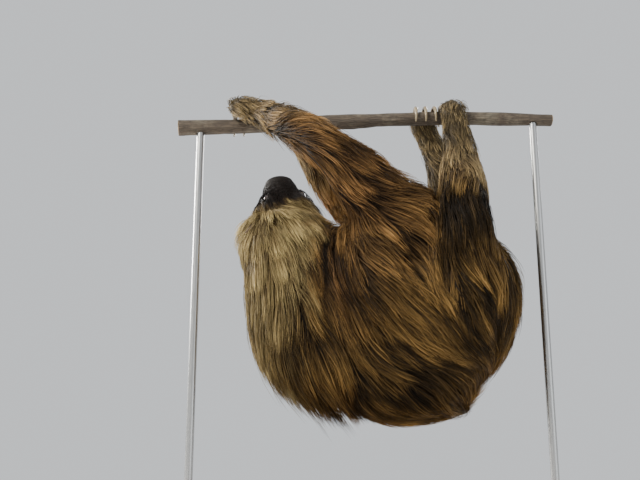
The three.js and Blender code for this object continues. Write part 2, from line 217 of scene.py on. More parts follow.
# the studio: camera, floor and light
view = {
    "place": (-0.060, -1.1108, 0.060),
    "target": (-0.060, 0.0, 0.3576),
    "lens": 51.75,
    "sensor": 36,
    "nearest": 0.02,
    "floorSize": 9.0,
    "floorColour": (0.80, 0.79, 0.77, 1),
    "floorRoughness": 0.85,
    "skyColour": (0.88, 0.91, 0.94, 1),
    "skyStrength": 0.85,
}
studioLights = {
    # place, target, size, power, colour
    "keyLight": ((-1.35, -1.25, 1.75), (-0.03, 0, 0.33), 0.7, 66, (1.0, 0.97, 0.90)),
    "rimLight": ((-1.5, 0.75, 0.9), (-0.1, 0, 0.30), 0.6, 66, (1.0, 0.98, 0.94)),
    "fillLight": ((1.5, -1.3, 0.55), (0, 0, 0.33), 1.2, 9, (0.92, 0.96, 1.0)),
    "backLight": ((1.0, 1.5, 1.4), (0, 0, 0.33), 0.9, 30, (0.97, 0.98, 1.0)),
}


def placeInScene(name, data, place, target):
    thing = bpy.data.objects.new(name, data)
    thing.location = place
    thing.rotation_euler = (Vector(target) - thing.location).to_track_quat("-Z", "Y").to_euler()
    scene.collection.objects.link(thing)
    return thing


def buildStage():
    bpy.ops.mesh.primitive_plane_add(size=view["floorSize"], location=(0, 0, 0))
    floor = bpy.context.active_object
    floor.name = "studioFloor"
    matt = {"Base Color": view["floorColour"], "Roughness": view["floorRoughness"]}
    floor.data.materials.append(newMaterial("floorPaint", lambda n: matt))
    scene.world = bpy.data.worlds.new("paleRoom")
    scene.world.use_nodes = True
    back = scene.world.node_tree.nodes["Background"]
    back.inputs["Color"].default_value = view["skyColour"]
    back.inputs["Strength"].default_value = view["skyStrength"]
    for name, (place, target, size, power, colour) in studioLights.items():
        data = bpy.data.lights.new(name, "AREA")
        data.size = size
        data.energy = power
        data.color = colour
        placeInScene(name, data, place, target)
    data = bpy.data.cameras.new("photoCamera")
    data.lens = view["lens"]
    data.sensor_width = view["sensor"]
    data.clip_start = view["nearest"]
    scene.camera = placeInScene("photoCamera", data, view["place"], view["target"])


buildStage()
print("stage, lights and camera are set")

# the head's own frame, mm: behind the nose, aside to the animal's left, above towards the crown
headPose = {"nose": (-0.114, 0.003, 0.440), "forward": (-0.19, 0.31, 0.93), "left": (-0.95, -0.2, -0.21)}
nose = np.array(headPose["nose"])
forward = unit(np.array(headPose["forward"]))
left = np.array(headPose["left"])
left = unit(left - forward * left.dot(forward))
headAxes = np.array([-forward, left, np.cross(forward, left)])


def toHead(co):
    return (co - nose) @ headAxes.T * 1000


def fromHead(co):
    return nose + np.asarray(co, float) / 1000 @ headAxes


def directionFromHead(v):
    return unit(np.asarray(v, float) @ headAxes)


# the coat over each CAD node: its depth, lock length and lock width in mm, lift from the skin in degrees,
# how far locks gather into clumps, how far they hang with gravity, and locks per square centimetre
coat = {
    "snout": (0.8, 3, 0.35, 20, 0.0, 0.0, 90),
    "face": (1.8, 8, 0.45, 22, 0.15, 0.05, 90),
    "head": (13, 42, 0.80, 17, 0.50, 0.08, 44),
    "neck": (18, 84, 0.95, 14, 0.60, 0.25, 26),
    "chest": (19, 88, 1.05, 14, 0.66, 0.08, 22),
    "loin": (19, 92, 1.05, 14, 0.66, 0.08, 22),
    "rump": (19, 88, 1.05, 14, 0.66, 0.12, 22),
    "right_upper_arm": (12, 62, 0.95, 14, 0.62, 0.15, 26),
    "left_upper_arm": (12, 62, 1.05, 14, 0.62, 0.20, 20),
    "right_forearm": (8, 50, 0.78, 14, 0.58, 0.15, 30),
    "left_forearm": (8, 50, 1.00, 14, 0.58, 0.20, 22),
    "right_thigh": (16, 66, 1.00, 14, 0.62, 0.15, 24),
    "left_thigh": (16, 66, 1.05, 14, 0.62, 0.20, 18),
    "right_shank": (12, 54, 0.90, 21, 0.55, 0.15, 30),
    "left_shank": (12, 54, 1.00, 20, 0.55, 0.20, 20),
}
pawNodes = ["right_hand", "left_hand", "right_foot", "left_foot"]
coat.update({node: (4, 20, 0.65, 18, 0.40, 0.10, 50) for node in pawNodes})
depthAt, lengthAt, widthAt, liftAt, clumpAt, droopAt, densityAt = range(7)
fleshNodes = list(coat)
faceNodes, trunkNodes = fleshNodes[:3], fleshNodes[4:7]
forearmNodes = ["right_forearm", "left_forearm"]
skinShape = {
    "voxel": 0.005, "smoothing": 16, "joinSmoothing": 9, "blend": 0.010, "reach": 0.06, "closeGaps": 0.0008,
    "depthRounds": 12, "insetSteps": 6, "normalRounds": 3, "ease": (0.7, 0.3),
    # finer faces: middle behind the nose, half depth and reach across, reach round the eyes, mm
    "finer": ((24, 40, 46, 0), (20, 36, 40, 0), (10, 26, 32, 12)),
    "mapAngle": 66, "mapMargin": 0.002,
}

# masses of the bare head in its own frame: centre, radii, mm
headMasses = [
    ((98, 4, -8), (51, 45, 39)),  # braincase
    ((58, 0, 3.5), (30, 26, 19)),  # forehead
    ((42, 0, -1), (22, 23.5, 18)),  # root of the muzzle
    ((26, 0, -1), (19, 22, 16.3)),  # muzzle
    ((11.5, 0, 1.0), (10.6, 18.5, 12.2)),  # nose pad
    *[((19, side * 9, -7), (14, 9.5, 8.5)) for side in bothSides],  # lips
    ((24, 0, -13), (14, 12, 7.5)),  # chin
    *[((60, side * 21, -5), (27, 17, 19)) for side in bothSides],  # cheeks
    *[((50, side * 17, 9.5), (19, 12.5, 12.5)) for side in bothSides],  # orbits
]
faceDetail = {
    "blend": 7.0, "zoneFrom": 56, "zoneTo": 80, "zoneAhead": -16, "zoneAcross": 60,
    "settleSteps": 6, "settleMost": 4, "feel": 0.35,
    "padCrease": {"edge": 12.0, "curve": 0.010, "lean": 0.15, "wide": 1.7, "deep": 0.5, "above": (-7, -2)},
    "folds": {"places": ((20, 0.3), (25, 0.35), (30, 0.35), (35, 0.3)), "curve": 0.012, "wide": 1.4, "above": (-2, 4)},
    "groove": {"wide": 1.1, "deep": 0.8, "within": ((10, 4), (5, 0))},
    "nostril": {"aside": 7.0, "above": 1.5, "slant": 0.3, "wide": 3.1, "high": 2.2, "deep": 2.8, "ends": (12, 8)},
    "mouth": {"above": -9.0, "from": 10, "rise": 0.0032, "ends": (38, 34), "wide": 1.15, "deep": 1.3},
    "lid": {"thick": 0.9, "blend": 4.5, "open": 0.56, "half": 0.86, "deep": 1.2},
}
eyes = {"radius": 7.2, "behind": 45, "aside": 19.5, "above": 16, "look": (-0.42, 0.72, 0.55), "slack": 0.2}


def ellipsoidField(p, centre, radii):
    q = (p - np.array(centre)) / np.array(radii)
    k0 = sizeOf(q)
    k1 = sizeOf(q / np.array(radii))
    return k0 * (k0 - 1) / np.maximum(k1, 1e-9)


def smoothMin(a, b, reach):
    h = np.maximum(reach - np.abs(a - b), 0) / reach
    return np.minimum(a, b) - h * h * reach / 4


def eyeCentre(side):
    return np.array([eyes["behind"], side * eyes["aside"], eyes["above"]])


def eyeFrame(side):
    look = unit(np.array(eyes["look"]) * (1, side, 1))
    along = np.array([1.0, 0, 0])
    along = unit(along - look * along.dot(look))
    return look, along, np.cross(look, along)


def awayFromEyes(p):
    return np.min([sizeOf(p - eyeCentre(side)) for side in bothSides], axis=0)


def nostrilShare(p):
    # 1 in the middle of each nostril, falling to 0 at its rim
    behind, aside, above = p.T
    hole = faceDetail["nostril"]
    out = np.abs(aside) - hole["aside"]
    rise = above - hole["above"] - hole["slant"] * out
    return bell(out / hole["wide"], rise / hole["high"]) * smoothStep(*hole["ends"], behind)


def headField(p):
    # distance to the bare head's surface, with nose pad, lips, nostrils, mouth line and lids
    d = ellipsoidField(p, *headMasses[0])
    for mass in headMasses[1:]:
        d = smoothMin(d, ellipsoidField(p, *mass), faceDetail["blend"])
    behind, aside, above = p.T
    pad, folds, groove, mouth, lid = [faceDetail[k] for k in ("padCrease", "folds", "groove", "mouth", "lid")]
    # crease round the nose pad, and fine folds across the top of the muzzle
    padEdge = pad["edge"] - pad["curve"] * aside**2 + pad["lean"] * np.abs(above)
    d += pad["deep"] * bell((behind - padEdge) / pad["wide"]) * smoothStep(*pad["above"], above)
    for at, deep in folds["places"]:
        fold = bell((behind - at - folds["curve"] * aside**2) / folds["wide"])
        d += deep * fold * smoothStep(*folds["above"], above)
    # groove down the middle of the pad to the lip
    d += groove["deep"] * bell(aside / groove["wide"]) * within(groove["within"], behind, above)
    d += faceDetail["nostril"]["deep"] * nostrilShare(p)
    # the mouth: a thin line from below the pad back along both sides, turned up at the corners
    line = mouth["above"] + mouth["rise"] * np.maximum(behind - mouth["from"], 0) ** 2
    d += mouth["deep"] * bell((above - line) / mouth["wide"]) * smoothStep(*mouth["ends"], behind)
    for side in bothSides:
        look, along, up = eyeFrame(side)
        q = p - eyeCentre(side)
        far = sizeOf(q)
        d = smoothMin(d, far - eyes["radius"] - lid["thick"], lid["blend"])
        ahead, x, y = unit(q) @ look, unit(q) @ along, unit(q) @ up
        gap = lid["open"] * (1 - (x / lid["half"]) ** 2)
        inside = (ahead > 0) & (np.abs(y) < gap) & (np.abs(x) < lid["half"])
        d = np.where(inside, np.maximum(d, far - eyes["radius"] + lid["deep"]), d)
    return d


def settleOnHead(p, share):
    # slides points along the field's slope onto the head's surface
    p = p.copy()
    most = faceDetail["settleMost"]
    for _ in range(faceDetail["settleSteps"]):
        d = headField(p)
        slope = np.stack([headField(p + e) - headField(p - e) for e in np.eye(3) * faceDetail["feel"]], axis=1)
        p -= unit(slope) * (np.clip(d, -most, most) * share)[:, None]
    return p


# the limbs' own flesh, mm: root, bend and end; flesh radius at each of them, the knuckle and the finger;
# coated radius of the root and bend; and the paw's place along the branch, side, lean and number of toes
armRadii = (27, 19.5, 14.5, 12.5, 8.5), (52, 31.5)
legRadii = (34, 26, 18.5, 13, 9), (52, 42)
limbs = {
    "right arm": (((34, -58, 364), (-56, -106, 442), (-140, -26, 519)), *armRadii, (-165, -1, -48, 2)),
    "left arm": (((22, 60, 364), (-12, 116, 424), (-72, 42, 480)), *armRadii, (-88, 1, -96, 2)),
    "right leg": (((113, -60, 292), (108, -86, 350), (112, -38, 466)), *legRadii, (108, -1, -92, 3)),
    "left leg": (((112, 60, 292), (116, 88, 350), (102, 42, 466)), *legRadii, (76, 1, -92, 3)),
}
branchLine = {"left": -243, "right": 239, "height": 513, "rise": 7, "sway": 4}
paw = {
    "rootTo": 0.7, "knuckleRing": 27.5, "fingerRing": 22, "fingerTurn": 26,
    "toe": 5.6, "toeRoot": 2.2, "toeTurn": 34, "toeSpread": 11, "toeRing": 18, "beads": 14, "toeBeads": 5,
}


def aroundBranch(x, side, degrees, ring):
    t = (x - branchLine["left"]) / (branchLine["right"] - branchLine["left"])
    a = math.radians(degrees)
    return np.array([x, branchLine["sway"] * math.sin(5 * t) - side * math.sin(a) * ring,
                     branchLine["height"] + branchLine["rise"] * math.sin(3.6 * t - 0.9) + math.cos(a) * ring])


def smoothPath(points, steps):
    # a centripetal curve through the points, with where each sample lies along them
    p = np.array([2 * points[0] - points[1], *points, 2 * points[-1] - points[-2]])
    samples, places = [], []
    for i in range(1, len(p) - 2):
        knot = np.cumsum([0.0] + [np.linalg.norm(p[i + j] - p[i + j - 1]) ** 0.5 for j in range(3)])
        for s in np.linspace(0, 1, steps, endpoint=i == len(p) - 3):
            t = knot[1] + (knot[2] - knot[1]) * s
            level = p[i - 1:i + 3]
            for spans in (((0, 1), (1, 2), (2, 3)), ((0, 2), (1, 3)), ((1, 2),)):
                level = [level[j] * (knot[b] - t) / (knot[b] - knot[a])
                         + level[j + 1] * (t - knot[a]) / (knot[b] - knot[a]) for j, (a, b) in enumerate(spans)]
            samples.append(level[0])
            places.append(i - 1 + s)
    return np.array(samples), np.array(places)


def addBead(place, radius):
    bpy.ops.mesh.primitive_ico_sphere_add(subdivisions=2, radius=radius / 1000, location=np.array(place) / 1000)
    return bpy.context.active_object


def limbLine(joints, grip, side, lean):
    knuckle = aroundBranch(grip, side, lean, paw["knuckleRing"])
    finger = aroundBranch(grip, side, lean + paw["fingerTurn"], paw["fingerRing"])
    return zip(*smoothPath([np.array(j, float) for j in joints] + [knuckle, finger], paw["beads"]))


def buildShoulders():
    # the limbs' roots at their coated size, which fill the trunk's sockets before the coat's depth is taken off
    return [addBead(place, np.interp(k, (0, 1), coated)) for joints, _, coated, hold in limbs.values()
            for place, k in limbLine(joints, *hold[:3]) if k < paw["rootTo"]]


def buildLimbs():
    beads = []
    for joints, radii, _, (grip, side, lean, toes) in limbs.values():
        beads += [addBead(place, np.interp(k, range(5), radii)) for place, k in limbLine(joints, grip, side, lean)]
        for off in np.arange(toes) - (toes - 1) / 2:
            tip = aroundBranch(grip + off * paw["toeSpread"], side, lean + paw["toeTurn"], paw["toeRing"])
            start = aroundBranch(grip + off * paw["toeSpread"] * 0.75, side, lean, paw["knuckleRing"] - 2)
            beads += [addBead(start + (tip - start) * t, paw["toe"] + paw["toeRoot"] * (1 - t))
                      for t in np.linspace(0, 1, paw["toeBeads"])]
    return beads


def refineHead(piece, middle, half, across, eyeReach):
    makeActive(piece)
    editMode(True)
    bpy.ops.mesh.select_mode(type="FACE")
    bpy.ops.mesh.select_all(action="DESELECT")
    editMode(False)
    p = toHead(readArray(piece.data.polygons, "center", 3).astype(float))
    chosen = (np.abs(p[:, 0] - middle) < half) & (sizeOf(p[:, 1:]) < across)
    piece.data.polygons.foreach_set("select", chosen | (awayFromEyes(p) < eyeReach))
    piece.data.update()
    editMode(True)
    bpy.ops.mesh.subdivide(number_cuts=1)
    editMode(False)


def edgesOf(piece):
    return readArray(piece.data.edges, "vertices", 2, np.int32)


def neighbourMean(values, edges):
    total = np.zeros_like(values)
    np.add.at(total, edges[:, 0], values[edges[:, 1]])
    np.add.at(total, edges[:, 1], values[edges[:, 0]])
    number = np.bincount(edges.ravel(), minlength=len(values))
    return total / np.maximum(number, 1).reshape((-1,) + (1,) * (values.ndim - 1))


def nodeWeights(co):
    # how much of each CAD node's coat a point of the skin carries
    distance = np.zeros((len(co), len(fleshNodes)))
    for k, node in enumerate(fleshNodes):
        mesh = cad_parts[node].data
        tree = BVHTree.FromPolygons([v.co for v in mesh.vertices], [p.vertices for p in mesh.polygons])
        for i, c in enumerate(co):
            place, facing, _, away = tree.find_nearest(c, skinShape["reach"])
            if place is None:
                distance[i, k] = skinShape["reach"]
            elif (Vector(c) - place).dot(facing) > 0:
                distance[i, k] = away
    weight = np.exp(-distance / skinShape["blend"])
    return weight / weight.sum(1, keepdims=True)


def shareOf(weight, nodes):
    return weight[:, [fleshNodes.index(node) for node in nodes]].sum(1)


def fuse(pieces, name, smoothing):
    # joins overlapping closed pieces into one even, smooth surface
    makeActive(pieces[0])
    for piece in pieces:
        piece.select_set(True)
    bpy.ops.object.join()
    whole = bpy.context.active_object
    whole.name = whole.data.name = name
    remeshEvenly(whole, skinShape["voxel"], smoothing)
    return whole


def takeOffCoat(skin):
    # moves the coated surface in by the coat's depth, a little at a time
    co, edges = pointsOf(skin), edgesOf(skin)
    depth = nodeWeights(co) @ np.array([coat[n][depthAt] for n in fleshNodes]) / 1000
    for _ in range(skinShape["depthRounds"]):
        depth = 0.5 * depth + 0.5 * neighbourMean(depth, edges)
    steps, (kept, eased) = skinShape["insetSteps"], skinShape["ease"]
    for _ in range(steps):
        setPoints(skin, co)
        normal = normalsOf(skin)
        for _ in range(skinShape["normalRounds"]):
            normal = unit(0.5 * normal + 0.5 * neighbourMean(normal, edges))
        co = co - normal * (depth / steps)[:, None]
        co = kept * co + eased * neighbourMean(co, edges)
    setPoints(skin, co)


def shapeHead(skin):
    for zone in skinShape["finer"]:
        refineHead(skin, *zone)
    co = pointsOf(skin)
    local = toHead(co)
    across = sizeOf(local[:, 1:])
    inZone = (local[:, 0] > faceDetail["zoneAhead"]) & (local[:, 0] < faceDetail["zoneTo"])
    near = np.where(inZone & (across < faceDetail["zoneAcross"]))[0]
    share = smoothStep(faceDetail["zoneTo"], faceDetail["zoneFrom"], local[near, 0])
    co[near] = fromHead(settleOnHead(local[near], share))
    setPoints(skin, co)


def buildSkin():
    pieces = [copyOfNode(node, "flesh_" + node) for node in faceNodes + ["neck"] + trunkNodes]
    for piece in pieces:
        setPoints(piece, pointsOf(piece) + normalsOf(piece) * skinShape["closeGaps"])
    skin = fuse(pieces + buildShoulders(), "skin", skinShape["smoothing"])
    takeOffCoat(skin)
    skin = fuse([skin] + buildLimbs(), "skin", skinShape["joinSmoothing"])
    shapeHead(skin)
    makeActive(skin)
    editMode(True)
    bpy.ops.mesh.select_all(action="SELECT")
    bpy.ops.mesh.quads_convert_to_tris()
    bpy.ops.mesh.normals_make_consistent(inside=False)
    bpy.ops.uv.smart_project(angle_limit=math.radians(skinShape["mapAngle"]), island_margin=skinShape["mapMargin"])
    editMode(False)
    bpy.ops.object.shade_smooth()
    return skin


skin = buildSkin()
print("skin:", len(skin.data.polygons), "faces")


# the lie of the coat, combed in strokes seen from the side, the same on both flanks:
# x and z of each place in mm, and of the direction there
combStrokes = [
    (-125, 300, 0.03, -1), (-115, 220, 0.12, -1), (-100, 180, 0.3, -1), (-60, 300, 0.12, -1), (-80, 240, 0.15, -1),
    (-38, 261, 0.25, -1), (-45, 330, -0.2, -1), (-40, 200, 0.4, -1), (-10, 330, 0.25, -1), (15, 300, 0.6, -0.8),
    (29, 261, 0.75, -0.65), (10, 210, 0.6, -0.8), (27, 172, 0.75, -0.65), (60, 330, 0.85, -0.5),
    (85, 261, 0.97, -0.25), (75, 200, 0.85, -0.5), (60, 151, 0.92, -0.35), (105, 225, 0.9, -0.45),
    (132, 265, 0.35, -0.95), (142, 205, 0.05, -1), (126, 172, 0.1, -1), (98, 138, 0.8, -0.6), (-16, 364, 0.9, -0.45),
    (20, 352, 0.95, -0.35), (-55, 305, -0.12, -1), (-6, 151, 0.75, -0.65), (160, 300, 0.25, -0.95),
    (150, 345, 0.25, -0.95), (90, 340, 0.7, -0.7), (110, 300, 0.75, -0.65), (-60, 160, 0.6, -0.8),
]
# the same for the crown of the head, where the hair sweeps across before it hangs
crownStrokes = [
    (-140, 385, -0.15, -1), (-124, 392, 0.35, -0.93), (-104, 392, 0.9, -0.45), (-86, 388, 0.97, -0.25),
    (-70, 380, 0.85, -0.55), (-130, 365, 0.15, -1), (-110, 365, 0.6, -0.8), (-90, 365, 0.8, -0.6),
    (-70, 355, 0.45, -0.9), (-120, 335, 0.15, -1), (-95, 335, 0.35, -0.95), (-70, 330, 0.15, -1),
]
flow = {
    "strokeReach": 0.024, "crownReach": 0.012, "hang": 0.04, "limbDroop": 0.45, "nearArmDroop": -0.45,
    "thighDrop": 30, "fanFrom": (40, 0, 22), "fanReach": 34, "brow": (0.9, 0.5), "fanShare": 0.25,
    "nearSide": (0.1, -0.25), "faceEdge": (58, 44), "rounds": 6,
    # slow turns of the lie: pace, start and amount, and how far from the muzzle's middle they set in, mm
    "turns": ((62, 0.0, 0.26), (140, 1.7, 0.24)), "muzzle": (20, 0, 0), "turnsFrom": (40, 90),
}
limbNodes = {"arm": ("upper_arm", "forearm", "hand"), "leg": ("thigh", "shank", "foot")}
pawTips = {
    "right arm": (-165, 4, 525), "left arm": (-88, 24, 505),
    "right leg": (108, -20, 505), "left leg": (76, 20, 505),
}
limbLines = {}  # each from the paw towards the trunk
for limb, ((root, *joints), *_) in limbs.items():
    side, kind = limb.split()
    root = (*root[:2], root[2] - flow["thighDrop"] * (kind == "leg"))
    stops = np.array([root, *joints, pawTips[limb]]) / 1000
    limbLines.update({side + "_" + node: (stops[k + 1], stops[k]) for k, node in enumerate(limbNodes[kind])})
nearArmNodes = ["right_upper_arm", "right_forearm"]
down = np.array([0.0, 0.0, -1.0])


def tangent(v, normal):
    return unit(v - normal * np.sum(v * normal, axis=1, keepdims=True))


def swirl(co, pace, start):
    # slow wandering values between about -1 and 1
    x, y, z = (co * pace).T
    return (np.sin(x + 1.3 * np.sin(z * 0.7 + start) + start) + np.sin(z * 1.1 + 1.1 * np.sin(y * 0.9) + 2 * start)
            + np.sin(y + 0.8 * np.sin(x * 0.8 + 1) + 3 * start)) / 2.2


def combed(co, strokes, reach):
    strokes = np.array(strokes)
    away = ((co[:, None, [0, 2]] - strokes[None, :, :2] / 1000) ** 2).sum(2)
    pull = np.exp(-away / (2 * reach**2)) + 1e-6
    way = pull @ strokes[:, 2:] / pull.sum(1, keepdims=True)
    return np.stack([way[:, 0], np.zeros(len(co)), way[:, 1]], axis=1)


def hairOfHead(co, normal):
    # behind the face the hair fans out from the brow, then turns to hang; on the near side it is combed
    local = toHead(co)
    out = local - np.array(flow["fanFrom"])
    fan, back = directionFromHead(out), directionFromHead([1, 0, 0])
    spread = bell(sizeOf(out) / flow["fanReach"])[:, None]
    brow = unit(fan * flow["brow"][0] + back * flow["brow"][1])
    crownHair = unit(brow * spread + down * (1 - spread) + flow["fanShare"] * fan * (1 - spread))
    nearSide = smoothStep(*flow["nearSide"], normal[:, 1])[:, None]
    swept = tangent(combed(co, crownStrokes, flow["crownReach"]), normal)
    crownHair = unit(crownHair * (1 - nearSide) + swept * nearSide)
    onFace = smoothStep(*flow["faceEdge"], local[:, 0])[:, None]
    return unit(crownHair * (1 - onFace) + unit(back + flow["fanShare"] * fan) * onFace)


def layOfCoat(co, normal, weight):
    body = unit(tangent(combed(co, combStrokes, flow["strokeReach"]), normal) + flow["hang"] * down)
    headHair = hairOfHead(co, normal)
    total = np.zeros_like(co)
    for k, node in enumerate(fleshNodes):
        way = headHair if node in faceNodes else body
        if node in limbLines:
            start, end = limbLines[node]
            droop = flow["nearArmDroop" if node in nearArmNodes else "limbDroop"]
            way = unit(unit(end - start) + droop * down)
        total += weight[:, k:k + 1] * way
    total = tangent(total, normal)
    turn = sum(swirl(co, pace, start) * amount for pace, start, amount in flow["turns"])
    turn *= smoothStep(*flow["turnsFrom"], sizeOf(toHead(co) - flow["muzzle"]))
    return total * np.cos(turn)[:, None] + np.cross(normal, total) * np.sin(turn)[:, None]


# how the colours lie: 1 where the coat is pale, red, grey or dark masked, 0 where it isn't
marks = {
    # z and x of the pale hair's rear edge, mm
    "paleEdge": ((400, -70), (380, -75), (362, -79), (340, -83), (319, -87), (300, -92),
                 (265, -99), (220, -109), (170, -124)),
    "paleBlur": 0.014, "ripples": ((0.005, 210), (0.004, 170)), "offLimbs": (0.5, 0.15),
    "brownAndShadeBelow": (0.365, 0.235), "brownAndShadeShare": (0.30, 0.20, 160), "pawEnds": (0.028, 0.012),
    # the mask's edge behind the nose, its peak on the forehead and how it runs down both cheeks, mm
    "maskEdge": 53.5, "maskPeak": (7, -1, 5), "maskBlur": 3, "maskWithin": ((62, 50), (0.2, 0.6)),
    "maskSides": ((1, 2, (4, 14)), (1, -11, (22, 34)), (-1, -2, (4, 16))),
    "redArm": 0.75, "redShoulder": (0.9, -0.045, 0.030, 0.325, 0.050),
    "greyWrist": (0.6, 0.455, 0.505), "ankle": (0.430, 0.7, 0.108), "ankleBlur": 0.022,
}
# where the coat parts, lies lower and shows its dark depth, painted darker there as painted shade; and patches painted
# lighter and darker, mostly painted light and painted shade, some the coat's own paler and darker hair; in mm, on both
# flanks
partings = {
    "reach": 0.0065,
    "paintedLightAndShade": (  # x, z, reach across and up, and how much lighter or darker: above 0 mostly painted light, below 0 mostly painted shade
        (74, 412, 30, 28, -0.42), (116, 376, 34, 30, -0.42), (128, 262, 30, 50, -0.26), (-10, 198, 60, 36, -0.27),
        (106, 458, 30, 28, 0.24), (-60, 478, 45, 28, 0.36), (-111, 207, 30, 40, -0.2), (-90, 490, 50, 30, 0.08),
        (90, 330, 35, 22, 0.07), (-80, 170, 30, 50, -0.08), (-155, 525, 30, 30, 0.12), (30, 125, 55, 28, 0.27),
        (-128, 280, 36, 45, -0.38), (-105, 360, 45, 30, 0.06), (-50, 320, 22, 40, -0.1),
    ),
    "lines": (  # x, z along each
        ((-31, 345), (-33, 296)), ((-12, 262), (7, 217), (1, 160)), ((12, 245), (33, 185), (28, 147)),
        ((79, 345), (86, 288), (100, 226), (112, 185)), ((-56, 350), (-60, 325), (-74, 292), (-72, 250)),
        ((-40, 225), (-34, 180), (-46, 150)), ((112, 300), (135, 265), (142, 225)), ((50, 300), (66, 262), (70, 215)),
        ((90, 320), (128, 300), (152, 270)), ((56, 190), (78, 150), (84, 130)),
    ),
}


def partedShare(co):
    share = np.zeros(len(co))
    for line in partings["lines"]:
        line = np.array(line) / 1000
        for a, b in zip(line[:-1], line[1:]):
            q = co[:, [0, 2]] - a
            t = np.clip(q @ (b - a) / (b - a).dot(b - a), 0, 1)
            away = sizeOf(q - t[:, None] * (b - a))
            share = np.maximum(share, bell(away / partings["reach"]))
    return share


# painted light and painted shade on the coat's tone, from the patches listed with the partings
def paintedLightAndShadeAt(co):
    total = np.zeros(len(co))
    for *place, amount in partings["paintedLightAndShade"]:
        x, z, across, high = np.array(place) / 1000
        total += amount * bell((co[:, 0] - x) / across, (co[:, 2] - z) / high)
    return total


def pawEnds(co):
    # 1 at the very end of each paw, where the combed way begins
    ends = np.array([limbLines[node][0] for node in pawNodes])
    return smoothStep(*marks["pawEnds"], sizeOf(co[:, None] - ends[None]).min(1))


def paleShare(co, limbShare):
    edge = np.array(sorted(marks["paleEdge"])) / 1000
    border = np.interp(co[:, 2], edge[:, 0], edge[:, 1])
    (high, pace), (wide, crossPace) = marks["ripples"]
    ripple = high * np.sin(co[:, 2] * pace) + wide * np.sin(co[:, 1] * crossPace + 2)
    pale = smoothStep(marks["paleBlur"], -marks["paleBlur"], co[:, 0] - border - ripple)
    pale = pale * smoothStep(*marks["offLimbs"], limbShare)
    # lower down the pale hair turns towards brown: partly its own olive-tan, partly painted shade
    share, vary, pace = marks["brownAndShadeShare"]
    return pale * (1 - smoothStep(*marks["brownAndShadeBelow"], co[:, 2]) * (share + vary * swirl(co, pace, 2.2)))


def maskShare(co, headNeck):
    behind, aside, above = toHead(co).T
    high, middle, wide = marks["maskPeak"]
    peak = high * bell((aside - middle) / wide) * (above > 0)
    sides = sum(most * smoothStep(*window, side * aside) for side, most, window in marks["maskSides"])
    edge = marks["maskEdge"] - peak + sides
    near = within(marks["maskWithin"], np.hypot(aside, above), headNeck)
    return smoothStep(edge + marks["maskBlur"], edge - marks["maskBlur"], behind) * near


def markings(co, weight):
    headNeck = shareOf(weight, ["head", "face", "snout", "neck"])
    pale = paleShare(co, 1 - headNeck - shareOf(weight, trunkNodes))
    amount, x, across, z, high = marks["redShoulder"]
    shoulder = bell((co[:, 0] - x) / across, (co[:, 2] - z) / high)
    arms = shareOf(weight, ["right_upper_arm", "left_upper_arm"] + forearmNodes)
    red = np.clip(marks["redArm"] * arms + amount * shoulder * (1 - pale), 0, 1)
    wristShare, *wristAt = marks["greyWrist"]
    wrist = wristShare * shareOf(weight, forearmNodes) * smoothStep(*wristAt, co[:, 2])
    level, slant, middle = marks["ankle"]  # slants down to the rear
    ankle = smoothStep(-marks["ankleBlur"], marks["ankleBlur"], co[:, 2] - level + slant * (co[:, 0] - middle))
    shanks = shareOf(weight, ["right_shank", "left_shank"])
    grey = np.clip(shareOf(weight, pawNodes) + wrist + shanks * ankle, 0, 1)
    return np.stack([pale, red, grey, maskShare(co, headNeck)], axis=1)


trims = {
    "ruff": {
        # behind the nose from and to, aside and across, mm
        "within": ((36, 56), (92, 70), (12, 26), (62, 52)), "longer": 13, "onShort": (34, 20), "lift": 9, "depth": 4,
    },
    "eyes": {"window": (7.5, 14), "least": 0.3},
    "paws": {"flatter": 0.8, "shorter": 0.25},
    "nape": {"facing": (0.1, 0.7), "depth": 4}, "nearArm": {"facing": (0.0, 0.8), "depth": 7, "lift": 5},
    "tufts": {"within": ((0.4, 0.8), (0.62, 0.25)), "shorter": 0.55},
}


def trimmedCoat(co, normal, weight):
    cut = weight @ np.array([coat[node] for node in fleshNodes])
    # a ruff of longer, looser hair frames the cheeks
    behind, aside, above = toHead(co).T
    trim = trims["ruff"]
    ruff = within(trim["within"], behind, behind, np.abs(aside), np.hypot(aside, above))
    cut[:, lengthAt] += trim["longer"] * ruff * smoothStep(*trim["onShort"], cut[:, lengthAt])
    cut[:, liftAt] += trim["lift"] * ruff
    cut[:, depthAt] += trim["depth"] * ruff
    # it is short round the eyes, and lies close over the ends of the paws
    least = trims["eyes"]["least"]
    cut[:, lengthAt] *= least + (1 - least) * smoothStep(*trims["eyes"]["window"], awayFromEyes(toHead(co)))
    cut[:, liftAt] *= 1 - trims["paws"]["flatter"] * pawEnds(co)
    cut[:, lengthAt] *= 1 - trims["paws"]["shorter"] * pawEnds(co)
    # it stands a little fuller down the nape, and higher along the top of the near arm
    trim = trims["nape"]
    cut[:, depthAt] += trim["depth"] * shareOf(weight, ["neck"]) * smoothStep(*trim["facing"], -normal[:, 0])
    trim = trims["nearArm"]
    nearArm = shareOf(weight, nearArmNodes) * smoothStep(*trim["facing"], normal[:, 2])
    cut[:, depthAt] += trim["depth"] * nearArm
    cut[:, liftAt] += trim["lift"] * nearArm
    # where the combed way runs against the skin the coat lies short, so that no two sides meet in a tuft
    way = combed(co, combStrokes, flow["strokeReach"])
    along = sizeOf(way - normal * np.sum(way * normal, axis=1, keepdims=True))
    trim = trims["tufts"]
    cut[:, lengthAt] *= 1 - trim["shorter"] * within(trim["within"], shareOf(weight, trunkNodes), along)
    return cut


